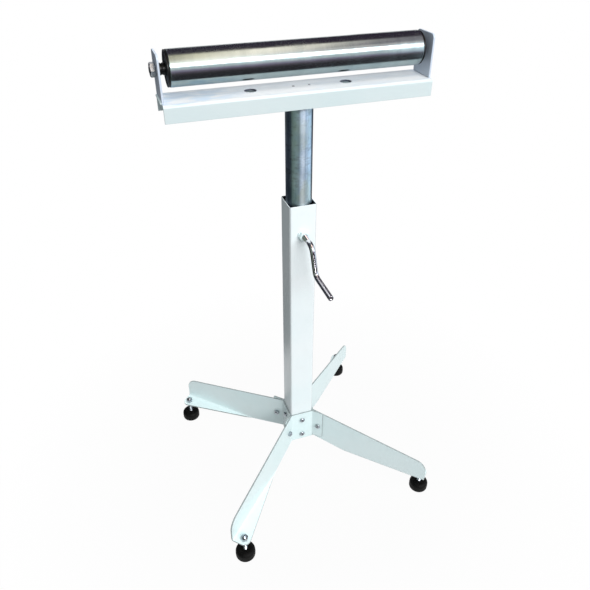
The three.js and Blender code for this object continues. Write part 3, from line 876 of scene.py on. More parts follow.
def folded_sheet(outline, holes, creases, fold, sheet):
    """A sheet cut to a counter-clockwise outline with round holes, its cut edges eased, then folded.

    fold takes a flat point and its height above the middle of the sheet. Returns the surface, and
    marks that are 1 for the points of a cut edge."""
    loops = [outline]
    for centre, radius in holes:
        ring = circle(radius, 0, SMALL_ROUND)
        loops.append([centre + p.xy for p in reversed(ring)])
    pairs = [split_at_creases(loop, inset(loop, EDGE_ROUND), creases) for loop in loops]
    starts = [sum(len(inner) for _, inner in pairs[:i]) for i in range(len(pairs))]
    laid, triangles, where = fill_flat(pairs, starts, creases, holes)
    half = sheet / 2
    points = []
    marks = []
    faces = []
    for side in (1, -1):
        start = len(points)
        points += [fold(point, side * half) for point in laid]
        marks += [0.0] * len(laid)
        faces += [[start + i for i in triangle] for triangle in triangles]
    arc = [QUARTER * step / EDGE_STEPS for step in range(1, EDGE_STEPS + 1)]
    for (outer, inner), start in zip(pairs, starts):
        count = len(inner)
        rows = [[where[start + i] for i in range(count)]]
        for side in (1, -1):
            for angle in arc if side == 1 else reversed(arc):
                first = len(points)
                out = sin(angle)
                high = side * (half - EDGE_ROUND + EDGE_ROUND * cos(angle))
                points += [fold(a.lerp(b, out), high) for a, b in zip(inner, outer)]
                marks += [1.0] * count
                rows.append([first + i for i in range(count)])
        rows.append([len(laid) + where[start + i] for i in range(count)])
        for low, high in zip(rows, rows[1:]):
            for i in range(count):
                j = (i + 1) % count
                faces.append([low[i], low[j], high[j], high[i]])
    return (points, faces), marks


def arc_points(centre, radius, first, last, steps=CORNER_STEPS):
    angles = [radians(first + (last - first) * i / steps) for i in range(steps + 1)]
    return [centre + radius * Vector((cos(a), sin(a))) for a in angles]


# Column, post and clamp

def rounded_square(half, corner, height):
    points = []
    for quarter in range(4):
        centre = Matrix.Rotation(quarter * QUARTER, 2) @ Vector((half - corner, half - corner))
        for p in arc_points(centre, corner, quarter * 90, quarter * 90 + 90, BEND_STEPS):
            points.append(Vector((p.x, p.y, height)))
    return points


def make_column():
    wall = [(0, COLUMN_LOW), (0, COLUMN_TOP), (COLUMN_WALL, COLUMN_TOP), (COLUMN_WALL, COLUMN_LOW)]
    rings = [rounded_square(COLUMN_HALF - d, COLUMN_CORNER - d, z) for d, z in eased(wall, closed=True)]
    piece("column_tube", skin(rings, closed=True), column_enamel, "base", "column")


def make_post():
    inside = POST_RADIUS - POST_WALL
    wall = [(inside, POST_LOW), (POST_RADIUS, POST_LOW), (POST_RADIUS, POST_TOP), (inside, POST_TOP)]
    piece("post_tube", turned(wall, FINE_ROUND, closed=True), post_steel, "post", "post")
    ring = circle(POST_RADIUS + POST_WELD_OUT, PLATE_TOP - BRACKET_SHEET - POST_WELD_DOWN, SMALL_ROUND)
    hand_over(bead("post_weld", ring, **POST_WELD, closed=True), "head")


def clamp_path():
    """Middle line of the clamp bar, from the screw's tip to the end of the grip."""
    tip = Vector((0, -POST_RADIUS - SEAT_GAP, CLAMP_HEIGHT))
    elbow = Vector((0, -COLUMN_HALF - CLAMP_STANDOFF, CLAMP_HEIGHT))
    knee = elbow + CLAMP_ARM * Vector((sin(CLAMP_TURN), 0, -cos(CLAMP_TURN)))
    end = knee - CLAMP_GRIP * Y
    points = [tip]
    for before, corner, after in ((tip, elbow, knee), (elbow, knee, end)):
        start = corner + CLAMP_BEND * (before - corner).normalized()
        stop = corner + CLAMP_BEND * (after - corner).normalized()
        points += bent(start, corner, stop, CORNER_STEPS)
    return points + [end]


def bar_surface(path, radius, core, threaded):
    """A round bar along a bent path, its first stretch cut down to the core of a thread."""
    side = (path[-1] - path[0]).cross(path[len(path) // 2] - path[0]).normalized()

    angles = round_angles(SMALL_ROUND)

    def ring(centre, ahead, size):
        across = ahead.cross(side).normalized()
        return [centre + size * (cos(a) * across + sin(a) * side) for a in angles]

    first = (path[1] - path[0]).normalized()
    last = (path[-1] - path[-2]).normalized()
    start = path[0]
    end = path[-1]
    rings = [[start], ring(start, first, core - BAR_TIP), ring(start + first * BAR_TIP, first, core)]
    rings.append(ring(start + first * threaded, first, core))
    for ahead, less in BAR_SHOULDER:
        rings.append(ring(start + first * (threaded + ahead), first, radius - less))
    for i in range(1, len(path) - 1):
        rings.append(ring(path[i], (path[i + 1] - path[i - 1]).normalized(), radius))
    for back, less in BAR_END:
        rings.append(ring(end - last * back, last, radius - less))
    for depth, size in BAR_MARK:
        rings.append(ring(end - last * depth, last, size))
    rings.append([end - last * BAR_MARK_DEPTH])
    return skin(rings)


def make_clamp():
    path = clamp_path()
    bar = draw("clamp_crank", bar_surface(path, CLAMP_RADIUS, CLAMP_CORE, CLAMP_THREADED), bar_chrome)
    thread(bar, CLAMP_RADIUS, CLAMP_PITCH, path[0] - Y, CLAMP_THREADED - CLAMP_PITCH, (QUARTER, 0, 0))
    hand_over(soften(bar), "clamp", "clamp_handle")
    seat = Matrix.Translation((0, -COLUMN_HALF - SEAT_GAP, CLAMP_HEIGHT)) @ ALONG_FRONT
    nut = hexagon_nut(CLAMP_NUT_FLATS, CLAMP_NUT_HEIGHT, CLAMP_RADIUS + SEAT_GAP)
    piece("clamp_nut_hex", moved(nut, seat), enamel, "base", "clamp_nut")
    ring = [seat @ point for point in circle(CLAMP_NUT_FLATS / 2 + NUT_WELD_OUT, NUT_WELD_UP, SMALL_ROUND)]
    hand_over(bead("clamp_nut_weld", ring, **NUT_WELD, closed=True), "base")


# Legs: lengths along the middle of the sheet, first on the flat blank and then on the folded leg

BEND_RADIUS = LEG_BEND + LEG_SHEET / 2
WEB_OFFSET = (SEAT_GAP + LEG_SHEET) / 2
TAB_OUT = COLUMN_HALF + SEAT_GAP + LEG_SHEET / 2
FOLD_TURN = pi / 4
CORNER_ACROSS = TAB_OUT - WEB_OFFSET * sqrt(2)
CORNER_REACH = (CORNER_ACROSS + TAB_OUT) / sqrt(2)
BEND_TANGENT = BEND_RADIUS * tan(FOLD_TURN / 2)
TAB_HALF = CORNER_ACROSS - BEND_TANGENT
BEND_LENGTH = BEND_RADIUS * FOLD_TURN
WEB_START = TAB_HALF + BEND_LENGTH
LEG_END = WEB_START + LEG_LENGTH - BEND_TANGENT
STUB_END = -(WEB_START + STUB_LENGTH - BEND_TANGENT)
FOLD_DOWN = TAB_TOP - (FLANGE_UNDER + LEG_SHEET / 2 + BEND_RADIUS)
FOLD_LENGTH = BEND_RADIUS * QUARTER
LAP_REACH = CORNER_REACH + LAP_BOLT_OUT
TOP_CENTRE = Vector((
    LEG_END - LEG_CORNER,
    (LEG_END - LEG_CORNER - WEB_START) * tan(LEG_TOP_SLOPE) + LEG_CORNER / cos(LEG_TOP_SLOPE),
))
FLANGE_CENTRE = Vector((
    LEG_END - FLANGE_CORNER,
    TAB_HEIGHT + (LEG_END - FLANGE_CORNER - WEB_START) * tan(LEG_LOWER_SLOPE)
    - FLANGE_CORNER / cos(LEG_LOWER_SLOPE),
))
STUD_REACH = CORNER_REACH + BEND_TANGENT + FLANGE_CENTRE.x - WEB_START
STUD_ASIDE = WEB_OFFSET + BEND_RADIUS + FLANGE_CENTRE.y - FOLD_DOWN - FOLD_LENGTH
WEB_ALONG = Vector((-1, -1, 0)).normalized()
WEB_ASIDE = Vector((1, -1, 0)).normalized()
STUB_ALONG = Vector((1, -1, 0)).normalized()
STUB_ASIDE = Vector((1, 1, 0)).normalized()
STUD_PLACE = STUD_REACH * WEB_ALONG + STUD_ASIDE * WEB_ASIDE


def share_of(distance, start, length):
    """How much of a bend lies behind a point of the blank, from 0 to 1."""
    return min(max((distance - start) / length, 0), 1)


def leg_outline():
    """The flat blank: x along the column's faces and out along the web, y down from the tab's top edge."""
    stub_low = TAB_HEIGHT - STUB_TRIM
    stub_corner = STUB_END + STUB_CORNER
    outline = arc_points(Vector((stub_corner, STUB_CORNER)), STUB_CORNER, 180, 270, EDGE_STEPS)
    outline.append(Vector((WEB_START, 0)))
    outline += arc_points(TOP_CENTRE, LEG_CORNER, degrees(LEG_TOP_SLOPE) - 90, 0)
    outline += arc_points(FLANGE_CENTRE, FLANGE_CORNER, 0, degrees(LEG_LOWER_SLOPE) + 90)
    outline.append(Vector((WEB_START, TAB_HEIGHT)))
    outline.append(Vector((-WEB_START, TAB_HEIGHT)))
    outline.append(Vector((-WEB_START - STUB_STEP, stub_low)))
    outline += arc_points(Vector((stub_corner, stub_low - STUB_CORNER)), STUB_CORNER, 90, 180, EDGE_STEPS)
    return outline


def fold_leg(point, height):
    """Place of a blank's point on the folded leg, at a height above the middle of the sheet."""
    side = -1 if point.x < 0 else 1
    out_along = abs(point.x)
    turn = share_of(out_along, TAB_HALF, BEND_LENGTH) * FOLD_TURN
    beyond = max(0, out_along - WEB_START)
    across = min(out_along, TAB_HALF) + BEND_RADIUS * sin(turn) + beyond * cos(turn)
    out = TAB_OUT + BEND_RADIUS * (1 - cos(turn)) + beyond * sin(turn)
    centre = Vector((-side * across, -out, 0))
    away = Vector((side * sin(turn), -cos(turn), 0))
    tip = share_of(point.y, FOLD_DOWN, FOLD_LENGTH) * QUARTER
    past = max(0, point.y - FOLD_DOWN - FOLD_LENGTH)
    aside = BEND_RADIUS - (BEND_RADIUS - height) * cos(tip) + past
    down = min(point.y, FOLD_DOWN) + (BEND_RADIUS - height) * sin(tip)
    return centre + away * aside + Z * (TAB_TOP - down)


def make_legs():
    shares = [i / BEND_STEPS for i in range(BEND_STEPS + 1)]
    bends = [TAB_HALF + BEND_LENGTH * share for share in shares]
    creases = [(0, side * bend) for bend in bends for side in (-1, 1)]
    creases += [(1, FOLD_DOWN + FOLD_LENGTH * share) for share in shares]
    lap = WEB_START - BEND_TANGENT + LAP_BOLT_OUT
    bolt_depths = [TAB_TOP - TAB_BOLT_LOW, TAB_TOP - TAB_BOLT_LOW - TAB_BOLT_SPACING]
    holes = [(Vector((0, depth)), HOLE_RADIUS) for depth in bolt_depths]
    holes += [(Vector((side * lap, TAB_TOP - LAP_BOLT_HEIGHT)), HOLE_RADIUS) for side in (-1, 1)]
    holes.append((FLANGE_CENTRE, STUD_RADIUS + HOLE_CLEARANCE))
    leg, rim = folded_sheet(leg_outline(), holes, creases, fold_leg, LEG_SHEET)
    for quarter, where in enumerate(PLACES):
        turn = Matrix.Rotation(quarter * QUARTER, 4, "Z")
        piece(f"leg_sheet_{where}", moved(leg, turn), enamel, "base", f"leg_{where}", rim=rim)


# Bolts, nuts and feet

def cross_recess(width, arm, top, bottom):
    """A cross-shaped cutter that narrows downwards."""
    rings = []
    for height, share in ((top, 1.0), (bottom, RECESS_TAPER)):
        w = width / 2 * share
        a = arm / 2 * share
        outline = [(w, w), (w, a), (-w, a), (-w, w), (-a, w), (-a, -w),
                   (-w, -w), (-w, -a), (w, -a), (w, -w), (a, -w), (a, w)]
        rings.append([Vector((x, y, height)) for x, y in outline])
    points, faces = skin(rings)
    count = len(rings[0])
    return points, faces + [list(range(count)), list(range(count, 2 * count))]


def pan_bolt(name, shank, matrix):
    """A pan-head bolt with a cross recess. Its seat is at z = 0 and its shank runs down."""
    head = BOLT_HEAD_RADIUS
    rise = BOLT_HEAD_HEIGHT - BOLT_HEAD_WALL
    angles = [QUARTER * i / CORNER_STEPS for i in range(CORNER_STEPS)]
    dome = [(head * cos(a), BOLT_HEAD_WALL + rise * sin(a)) for a in angles]
    tip = [(0, -shank), (BOLT_CORE - BOLT_CHAMFER, -shank), (BOLT_CORE, BOLT_CHAMFER - shank)]
    profile = eased(tip + [(BOLT_CORE, 0), (head, 0)], ROD_EDGE)[:-1] + dome
    rings = [circle(r, h, SMALL_ROUND) for r, h in profile]
    bolt = draw(name, skin(rings + [[Vector((0, 0, BOLT_HEAD_HEIGHT))]]), zinc)
    cross = cross_recess(RECESS_WIDTH, RECESS_ARM, BOLT_HEAD_HEIGHT + 1, RECESS_FLOOR)
    cutter = draw(name + "_cutter", cross, zinc)
    recess = bolt.modifiers.new("recess", "BOOLEAN")
    recess.operation = "DIFFERENCE"
    recess.solver = "EXACT"
    recess.object = cutter
    settle(bolt)
    bpy.data.objects.remove(cutter)
    thread(bolt, BOLT_RADIUS, BOLT_PITCH, (0, 0, BOLT_PITCH - shank), shank - 2 * BOLT_PITCH)
    for step in (Matrix.Scale(1 / MM, 4), matrix, Matrix.Scale(MM, 4)):
        bolt.data.transform(step)
    return bolt


def named(pattern, *levels):
    return [pattern.format(where, level) for where in PLACES for level in levels or ("",)]


def make_fasteners():
    seat = TAB_OUT + LEG_SHEET / 2 + SEAT_GAP
    grip = seat - COLUMN_HALF + COLUMN_WALL + BOLT_END
    bolt = pan_bolt("tab_bolts", grip, Matrix.Translation((0, -seat, TAB_BOLT_LOW)) @ ALONG_FRONT)
    tab_bolts = soften(repeat(bolt, 2, TAB_BOLT_SPACING))
    hand_over(tab_bolts, "base", *named("tab_bolt_{}_{}", "lower", "upper"))

    half = SEAT_GAP / 2 + LEG_SHEET + SEAT_GAP
    middle = STUB_ALONG * LAP_REACH + Z * LAP_BOLT_HEIGHT
    head = Matrix.Translation(middle - STUB_ASIDE * half) @ heading(-STUB_ASIDE)
    bolt = pan_bolt("lap_bolts", 2 * half + BOLT_NUT_HEIGHT + BOLT_END / 2, head)
    hand_over(soften(repeat(bolt)), "base", *named("lap_bolt_{}"))
    nut = hexagon_nut(BOLT_NUT_FLATS, BOLT_NUT_HEIGHT, BOLT_RADIUS + SEAT_GAP)
    tail = Matrix.Translation(middle + STUB_ASIDE * half) @ heading(STUB_ASIDE)
    lap_nuts = soften(repeat(draw("lap_nuts", moved(nut, tail), zinc)))
    hand_over(lap_nuts, "base", *named("lap_nut_{}"))

    low = FLANGE_UNDER - SEAT_GAP - FOOT_NUT_HEIGHT
    rise = FLANGE_UNDER + LEG_SHEET + SEAT_GAP - low
    nut = hexagon_nut(FOOT_NUT_FLATS, FOOT_NUT_HEIGHT, STUD_RADIUS + SEAT_GAP)
    nut = moved(nut, Matrix.Translation(STUD_PLACE + Z * low))
    foot_nuts = soften(repeat(draw("foot_nuts", nut, zinc), 2, rise))
    hand_over(foot_nuts, "base", *named("foot_nut_{}_{}", "lower", "upper"))


def pad_profile():
    """From the middle of the hollow underneath, round the outside, to the bottom of the stud's hole."""
    hole = STUD_RADIUS + SEAT_GAP
    floor = STUD_LOW - SEAT_GAP
    side = PAD_RADIUS - PAD_SEAM_PROUD
    lower = arc_points(Vector((side - PAD_LOWER_ROUND, PAD_LOWER_ROUND)), PAD_LOWER_ROUND, -90, 0, BEND_STEPS)
    seam = [(side + proud, height) for proud, height in PAD_SEAM]
    shoulder = Vector((side - PAD_UPPER_ROUND, PAD_HEIGHT - PAD_UPPER_ROUND))
    upper = arc_points(shoulder, PAD_UPPER_ROUND, 0, 90)
    groove = [(radius, PAD_HEIGHT - depth) for radius, depth in PAD_GROOVE]
    return [*PAD_HOLLOW, *lower, *seam, *upper, *groove, (hole, PAD_HEIGHT), (hole, floor), (0, floor)]


def make_feet():
    top = FLANGE_UNDER + LEG_SHEET + SEAT_GAP + FOOT_NUT_HEIGHT + STUD_TIP
    stud = [
        (0, STUD_LOW), (STUD_CORE - STUD_LOW_CHAMFER, STUD_LOW), (STUD_CORE, STUD_LOW + STUD_LOW_CHAMFER),
        (STUD_CORE, top - STUD_TOP_CHAMFER), (STUD_CORE - STUD_TOP_CHAMFER, top), (0, top),
    ]
    for quarter, where in enumerate(PLACES):
        spot = Matrix.Rotation(quarter * QUARTER, 4, "Z") @ STUD_PLACE
        shift = Matrix.Translation(spot)
        pad = moved(turned(pad_profile(), size=PAD_EDGE), shift)
        piece(f"pad_{where}", pad, rubber, f"foot_{where}", f"foot_pad_{where}")
        begin = (spot.x, spot.y, STUD_LOW + STUD_THREAD_START)
        rod = draw(f"stud_{where}", moved(turned(stud, SMALL_ROUND, size=ROD_EDGE), shift), zinc)
        thread(rod, STUD_RADIUS, STUD_PITCH, begin, top - STUD_LOW - STUD_THREAD_LESS)
        hand_over(soften(rod), f"foot_{where}", f"foot_stud_{where}")


# Bracket

def make_channel():
    middle = BRACKET_BEND + BRACKET_SHEET / 2
    flat = BRACKET_HALF - BRACKET_BEND - BRACKET_SHEET
    bend = middle * QUARTER
    reach = flat + bend + BRACKET_DROP - BRACKET_BEND - BRACKET_SHEET
    centre_height = PLATE_TOP - BRACKET_SHEET / 2

    def fold(point, height):
        side = -1 if point.y < 0 else 1
        out_along = abs(point.y)
        turn = share_of(out_along, flat, bend) * QUARTER
        past = max(0, out_along - flat - bend)
        radius = middle + height
        across = min(out_along, flat) + radius * sin(turn)
        drop = radius * (1 - cos(turn)) + past
        return Vector((point.x, side * across, centre_height + height - drop))

    ends = [(EAR_OUTSIDE, -reach), (EAR_OUTSIDE, reach), (-EAR_OUTSIDE, reach), (-EAR_OUTSIDE, -reach)]
    bends = [flat + bend * i / BEND_STEPS for i in range(BEND_STEPS + 1)]
    creases = [(1, side * at) for at in bends for side in (-1, 1)]
    holes = [(Vector((side * PLATE_HOLE_OUT, 0)), PLATE_HOLE_RADIUS) for side in (-1, 1)]
    channel, _ = folded_sheet([Vector(end) for end in ends], holes, creases, fold, BRACKET_SHEET)
    piece("bracket_sheet", channel, bracket_enamel, "head", "bracket_channel")


def make_ears():
    low = PLATE_TOP + SEAT_GAP
    shoulder = EAR_HALF - EAR_CORNER
    outline = [Vector((-EAR_HALF, low)), Vector((EAR_HALF, low))]
    outline += arc_points(Vector((shoulder, EAR_TOP - EAR_CORNER)), EAR_CORNER, 0, 90)
    outline += arc_points(Vector((-shoulder, EAR_TOP - EAR_CORNER)), EAR_CORNER, 90, 180)
    hole = [(Vector((0, AXLE_HEIGHT)), AXLE_RADIUS + HOLE_CLEARANCE)]
    for name, sign, seed in zip(SIDES, (1, -1), EAR_WELD_SEEDS):
        out = sign * (EAR_INSIDE + EAR_OUTSIDE) / 2

        def stand_up(point, height):
            return Vector((out + height, point.x, point.y))

        ear, _ = folded_sheet(outline, hole, [], stand_up, BRACKET_SHEET)
        piece(f"ear_plate_{name}", ear, ear_enamel, "head", f"ear_{name}")
        weld_out = sign * (EAR_OUTSIDE + EAR_WELD_OUT)
        line = [Vector((weld_out, y, PLATE_TOP)) for y in (-EAR_WELD_HALF, EAR_WELD_HALF)]
        hand_over(bead(f"ear_weld_{name}", line, **EAR_WELD, seed=seed), "head")


def make_weld_spots():
    spots = []
    for out, size in WELD_SPOTS:
        dome = [(size * share, height) for share, height in WELD_SPOT_PROFILE]
        seat = Matrix.Translation((out, WELD_SPOT_BACK, PLATE_TOP))
        spots.append(moved(turned(dome, SMALL_ROUND, size=SOFT_EDGE), seat))
    piece("plate_weld_spots", joined(*spots), weld_scale, "head")


# Roller

AXLE_LIFT = Matrix.Translation((0, 0, AXLE_HEIGHT))
ROLLER_INSIDE = ROLLER_RADIUS - ROLLER_WALL


def make_roller_tube():
    wall = [
        (ROLLER_INSIDE, -ROLLER_HALF), (ROLLER_RADIUS, -ROLLER_HALF),
        (ROLLER_RADIUS, ROLLER_HALF), (ROLLER_INSIDE, ROLLER_HALF),
    ]
    shell = moved(turned(wall, FINE_ROUND, closed=True, size=ROLLER_EDGE), AXLE_LIFT @ ALONG_X)
    piece("roller_shell", shell, roller_steel, "roller", "roller_tube")


def cap_profile():
    """A cap with a spigot in the tube, a grooved rim, a dished face and a pocket for the bearing."""
    spigot = ROLLER_INSIDE - SEAT_GAP
    rim = ROLLER_RADIUS - CAP_UNDERCUT
    rim_start = ROLLER_HALF + SEAT_GAP
    dish = CAP_FACE - CAP_DISH
    hub = CAP_MOUTH + CAP_HUB
    return [
        (POCKET_RADIUS, CAP_INNER), (spigot, CAP_INNER), (spigot, rim_start), (rim, rim_start),
        *[(rim - depth, rim_start + at) for at, depth in CAP_GROOVE],
        (rim, CAP_FACE), (rim - CAP_LIP, CAP_FACE), (rim - CAP_LIP - CAP_DISH_SLOPE, dish),
        (hub + CAP_DISH_SLOPE, dish), (hub, CAP_FACE), (CAP_MOUTH, CAP_FACE),
        (CAP_MOUTH, POCKET_END), (POCKET_RADIUS, POCKET_END),
    ]


def spacer_profile():
    bore = AXLE_RADIUS + SEAT_GAP
    far = EAR_INSIDE - SEAT_GAP
    groove = [(SPACER_RADIUS - depth, CAP_FACE + at) for at, depth in SPACER_GROOVE]
    return [(bore, POCKET_END), (SPACER_RADIUS, POCKET_END), *groove, (SPACER_RADIUS, far), (bore, far)]


def make_roller_ends():
    cap = turned(cap_profile(), closed=True, size=CAP_EDGE)
    spacer = turned(spacer_profile(), SMALL_ROUND, closed=True, size=SOFT_EDGE)
    nut = hexagon_nut(AXLE_NUT_FLATS, AXLE_NUT_HEIGHT, AXLE_RADIUS + SEAT_GAP)
    nut = moved(nut, Matrix.Translation((0, 0, EAR_OUTSIDE + SEAT_GAP)))
    for side, turn in zip(SIDES, (ALONG_X, ALONG_LEFT)):
        seat = AXLE_LIFT @ turn
        piece(f"end_cap_{side}", moved(cap, seat), moulding, "roller", f"roller_cap_{side}")
        piece(f"collar_{side}", moved(spacer, seat), moulding, "head", f"axle_spacer_{side}")
        piece(f"axle_hex_{side}", moved(nut, seat), zinc, "head", f"axle_nut_{side}")


def make_axle():
    half = [
        (AXLE_CORE - AXLE_CHAMFER, AXLE_END), (AXLE_CORE, AXLE_END - AXLE_CHAMFER),
        (AXLE_CORE, AXLE_STEP), (AXLE_RADIUS, AXLE_STEP - AXLE_STEP_SLOPE),
    ]
    rod = [(0, -AXLE_END)] + [(r, -z) for r, z in half] + half[::-1] + [(0, AXLE_END)]
    axle = draw("axle_rod", moved(turned(rod, SMALL_ROUND, size=ROD_EDGE), AXLE_LIFT @ ALONG_X), zinc)
    for sign in (1, -1):
        begin = (sign * (AXLE_STEP + AXLE_THREAD_START), 0, AXLE_HEIGHT)
        length = AXLE_END - AXLE_STEP - AXLE_THREAD_LESS
        thread(axle, AXLE_RADIUS, AXLE_PITCH, begin, length, (0, sign * QUARTER, 0))
    hand_over(soften(axle), "head", "axle")


def dress_bearings():
    for name in SIDES:
        for ring in ("outer", "inner"):
            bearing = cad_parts[f"bearing_{ring}_ring_{name}"]
            bearing.data.materials.clear()
            bearing.data.materials.append(zinc)


make_column()
make_post()
make_clamp()
make_legs()
make_fasteners()
make_feet()
make_channel()
make_ears()
make_weld_spots()
make_roller_tube()
make_roller_ends()
make_axle()
dress_bearings()


# Studio: floor, reflection cards, lamps and camera, in metres

WHITE = (1.0, 1.0, 1.0, 1)
PAPER = (0.30, 0.30, 0.30, 1)
SKY = (0.93, 0.97, 1.0, 1)
SKY_STRENGTH = 0.36
FLOOR_REACH = 30
FLOOR_GLOW = 0.965
SHADOW_START = 0.3
SHADOW_END = 0.7


def flat(left, right, near, far, height, far_height=None):
    """Corners of a card that lies or hangs level, or slopes to another height at its far edge."""
    behind = height if far_height is None else far_height
    return [(left, near, height), (right, near, height), (right, far, behind), (left, far, behind)]


def upright(start, end, top):
    """Corners of a card that stands on the floor."""
    return [(*start, 0), (*end, 0), (*end, top), (*start, top)]


# Cards: their corners, the axis that their tone runs along, and the tones at places along it
CARDS = {
    "front_floor_card": (flat(-0.4, 6, -25, -0.3, 0.004), "Y", [
        (-25, (0.66, 0.50, 0.70)), (-5, (0.56, 0.42, 0.58)), (-3.2, (0.27, 0.19, 0.27)),
        (-2.1, (0.175, 0.125, 0.155)), (-1.5, (0.075, 0.06, 0.07)), (-0.3, (0.045, 0.04, 0.046)),
    ]),
    "left_floor_card": (flat(-8, -0.4, -25, 0.35, 0.004), "Y", [
        (-25, (0.32, 0.33, 0.44)), (-3, (0.22, 0.26, 0.25)), (-1.4, (0.21, 0.26, 0.23)),
        (-0.4, (0.17, 0.21, 0.16)), (-0.05, (0.03, 0.033, 0.036)), (0.35, (0.02, 0.022, 0.022)),
    ]),
    "back_floor_card": (flat(-8, 6, 0.35, 8, 0.004), "Y", [
        (0.35, (0.015, 0.017, 0.017)), (1.9, (0.03, 0.033, 0.036)), (2.6, (0.30, 0.33, 0.35)),
        (8, (0.50, 0.53, 0.55)),
    ]),
    "right_floor_card": (flat(1.05, 6, -1.0, 0.4, 0.008), "Y", [
        (-1, (0.9, 1.05, 1.2)), (0.4, (0.8, 0.95, 1.1)),
    ]),
    "right_card": (upright((4, -3), (4, 0.75), 3), "Z", [
        (0, (1.1, 1.28, 1.45)), (3, (1.1, 1.28, 1.45)),
    ]),
    "back_right_card": (upright((4, 0.75), (1.5, 3.2), 1.4), "Z", [
        (0, (0.02, 0.025, 0.04)), (1.4, (0.03, 0.036, 0.055)),
    ]),
    "front_right_card": (upright((2.2, -3.2), (4, -3), 3), "Z", [
        (0, (1.6, 1.85, 2.1)), (3, (1.6, 1.85, 2.1)),
    ]),
    "front_left_card": (upright((-3.5, -3), (-0.9, -3), 3), "Z", [
        (0, (0.26, 0.32, 0.29)), (3, (0.26, 0.32, 0.29)),
    ]),
    "left_card": (upright((-1.8, -2.2), (-1.8, 3), 2.6), "Y", [
        (-2.2, (0.22, 0.28, 0.25)), (-0.4, (0.17, 0.21, 0.16)), (0.0, (0.03, 0.033, 0.045)),
        (3, (0.045, 0.05, 0.065)),
    ]),
    "back_left_card": (upright((-1.8, 3), (-0.3, 3), 2.6), "Z", [
        (0, (0.03, 0.033, 0.045)), (2.6, (0.06, 0.065, 0.09)),
    ]),
    "front_top_card": (flat(0.045, 5, -2.8, -1.35, 2.95), "X", [
        (0.045, (2.2, 1.8, 1.3)), (0.3, (2.6, 2.15, 1.75)), (0.62, (3.0, 2.45, 2.2)),
        (0.85, (1.35, 1.1, 1.0)), (1.27, (1.1, 0.9, 0.85)), (1.6, (0.9, 0.75, 0.78)),
        (5, (0.3, 0.26, 0.3)),
    ]),
    "rear_top_card": (flat(0.045, 5, -1.35, 0.05, 2.95), "X", [
        (0.045, (1.6, 1.28, 0.8)), (0.17, (1.85, 1.5, 0.98)), (0.43, (3.1, 2.5, 2.15)),
        (0.69, (2.7, 2.2, 1.8)), (0.95, (1.05, 0.87, 0.8)), (1.25, (0.38, 0.31, 0.36)),
        (5, (0.15, 0.13, 0.15)),
    ]),
    "top_left_card": (flat(-4, 0.045, -2.8, 2.3, 2.95), "X", [
        (-4, (0.06, 0.065, 0.09)), (0.045, (0.1, 0.105, 0.13)),
    ]),
    "back_card": (flat(-0.1, 5, 0.05, 3.2, 2.95, far_height=1.9), "Y", [
        (0.05, (0.085, 0.058, 0.085)), (3.2, (0.05, 0.036, 0.06)),
    ]),
}

# Lamps: place, target, size, watts and whether reflections show them
LAMPS = {
    "key_lamp": ((1.09, -4.38, 3.04), (0, 0, 0.4), (3.6, 1.3), 190, True),
    "top_lamp": ((0.7, -2.7, 6.1), (0, 0, 0.5), (3.5, 3.5), 221, False),
    "back_lamp": ((0.6, 4.2, 2.8), (0, 0, 0.4), (2.6, 1.6), 120, False),
}

CAMERA_PLACE = (-0.3119, -0.88137, 1.10852)
CAMERA_TILT = radians(54.871)
CAMERA_TURN = radians(-19.09)
CAMERA_LENS = 35.6
CAMERA_SENSOR = 36.0
CAMERA_SIGHT = 100.0


def plain_shader(name):
    """An empty material. What glows in it only shows, so light is sought from the lamps alone."""
    material = bpy.data.materials.new(name)
    material.use_nodes = True
    material.node_tree.nodes.clear()
    material.cycles.emission_sampling = "NONE"
    return material, Value(material.node_tree)


def seen_rays(start):
    """1 for what the camera sees straight, or by reflection, or through glass."""
    path = start.node("ShaderNodeLightPath")
    seen = path.output("Is Camera Ray") + path.output("Is Glossy Ray") + path.output("Is Transmission Ray")
    return start.node("ShaderNodeClamp", {}, {"Value": seen})


def stage_sheet(name, corners, material):
    mesh = bpy.data.meshes.new(name)
    mesh.from_pydata([Vector(c) for c in corners], [], [(0, 1, 2, 3)])
    mesh.materials.append(material)
    made = show(name, mesh)
    return made


def make_floor():
    """White to the camera, with the stand's faint shadow where it stands."""
    material, start = plain_shader("floor_white")
    paper = start.node("ShaderNodeBsdfDiffuse", {}, {"Color": PAPER})
    glow = start.node("ShaderNodeEmission", {}, {"Color": WHITE, "Strength": 1.0})
    spot = start.node("ShaderNodeTexCoord", out="Object")
    distance = start.node("ShaderNodeVectorMath", {"operation": "LENGTH"}, {0: spot}, out="Value")
    share = FLOOR_GLOW + (1 - FLOOR_GLOW) * contrast(distance, SHADOW_START, SHADOW_END)
    mixed = start.node("ShaderNodeMixShader", {}, {0: seen_rays(start) * share, 1: paper, 2: glow})
    start.node("ShaderNodeOutputMaterial", {}, {"Surface": mixed})
    stage_sheet("floor", flat(-FLOOR_REACH, FLOOR_REACH, -FLOOR_REACH, FLOOR_REACH, 0), material)


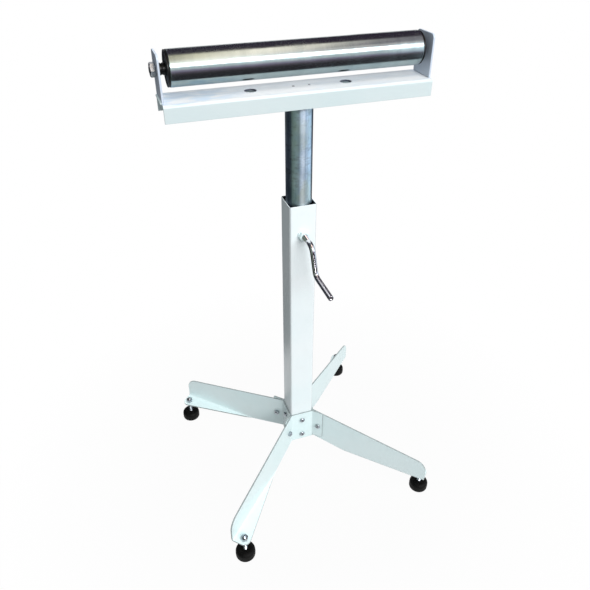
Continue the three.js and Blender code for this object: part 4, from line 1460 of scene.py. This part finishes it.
def make_card(name, corners, axis, stops):
    """A studio card that only reflections show, with its tone running along an axis."""
    material, start = plain_shader(name)
    spot = start.node("ShaderNodeTexCoord", out="Object")
    low = stops[0][0]
    span = stops[-1][0] - low
    scaled = [((at - low) / span, colour) for at, colour in stops]
    tone = start.node("ShaderNodeValToRGB", {"stops": scaled}, {0: (along(spot, axis) - low) / span})
    glow = start.node("ShaderNodeEmission", {}, {"Color": tone, "Strength": 1.0})
    start.node("ShaderNodeOutputMaterial", {}, {"Surface": glow})
    card = stage_sheet(name, corners, material)
    for ray in ("camera", "diffuse", "shadow", "transmission", "volume_scatter"):
        setattr(card, "visible_" + ray, False)


def make_lamp(name, spot, target, size, watts, in_reflections):
    lamp = bpy.data.lights.new(name, "AREA")
    lamp.shape = "RECTANGLE"
    lamp.size = size[0]
    lamp.size_y = size[1]
    lamp.energy = watts
    made = show(name, lamp)
    made.location = spot
    made.visible_glossy = in_reflections
    made.rotation_euler = (Vector(target) - made.location).to_track_quat("-Z", "Y").to_euler()


def make_sky():
    """Soft light from all round, and white where the camera or a reflection sees it."""
    world = bpy.data.worlds.new("studio")
    bpy.context.scene.world = world
    world.use_nodes = True
    world.node_tree.nodes.clear()
    start = Value(world.node_tree)
    soft = start.node("ShaderNodeBackground", {}, {"Color": SKY, "Strength": SKY_STRENGTH})
    white = start.node("ShaderNodeBackground", {}, {"Color": WHITE, "Strength": 1.0})
    mixed = start.node("ShaderNodeMixShader", {}, {0: seen_rays(start), 1: soft, 2: white})
    start.node("ShaderNodeOutputWorld", {}, {"Surface": mixed})


def make_camera():
    lens = bpy.data.cameras.new("camera")
    lens.sensor_width = CAMERA_SENSOR
    lens.lens = CAMERA_LENS
    lens.clip_end = CAMERA_SIGHT
    made = show("camera", lens)
    made.location = CAMERA_PLACE
    made.rotation_euler = (CAMERA_TILT, 0, CAMERA_TURN)
    bpy.context.scene.camera = made
    bpy.context.scene.view_settings.view_transform = "Standard"


make_floor()
for name, card in CARDS.items():
    make_card(name, *card)
for name, lamp in LAMPS.items():
    make_lamp(name, *lamp)
make_sky()
make_camera()
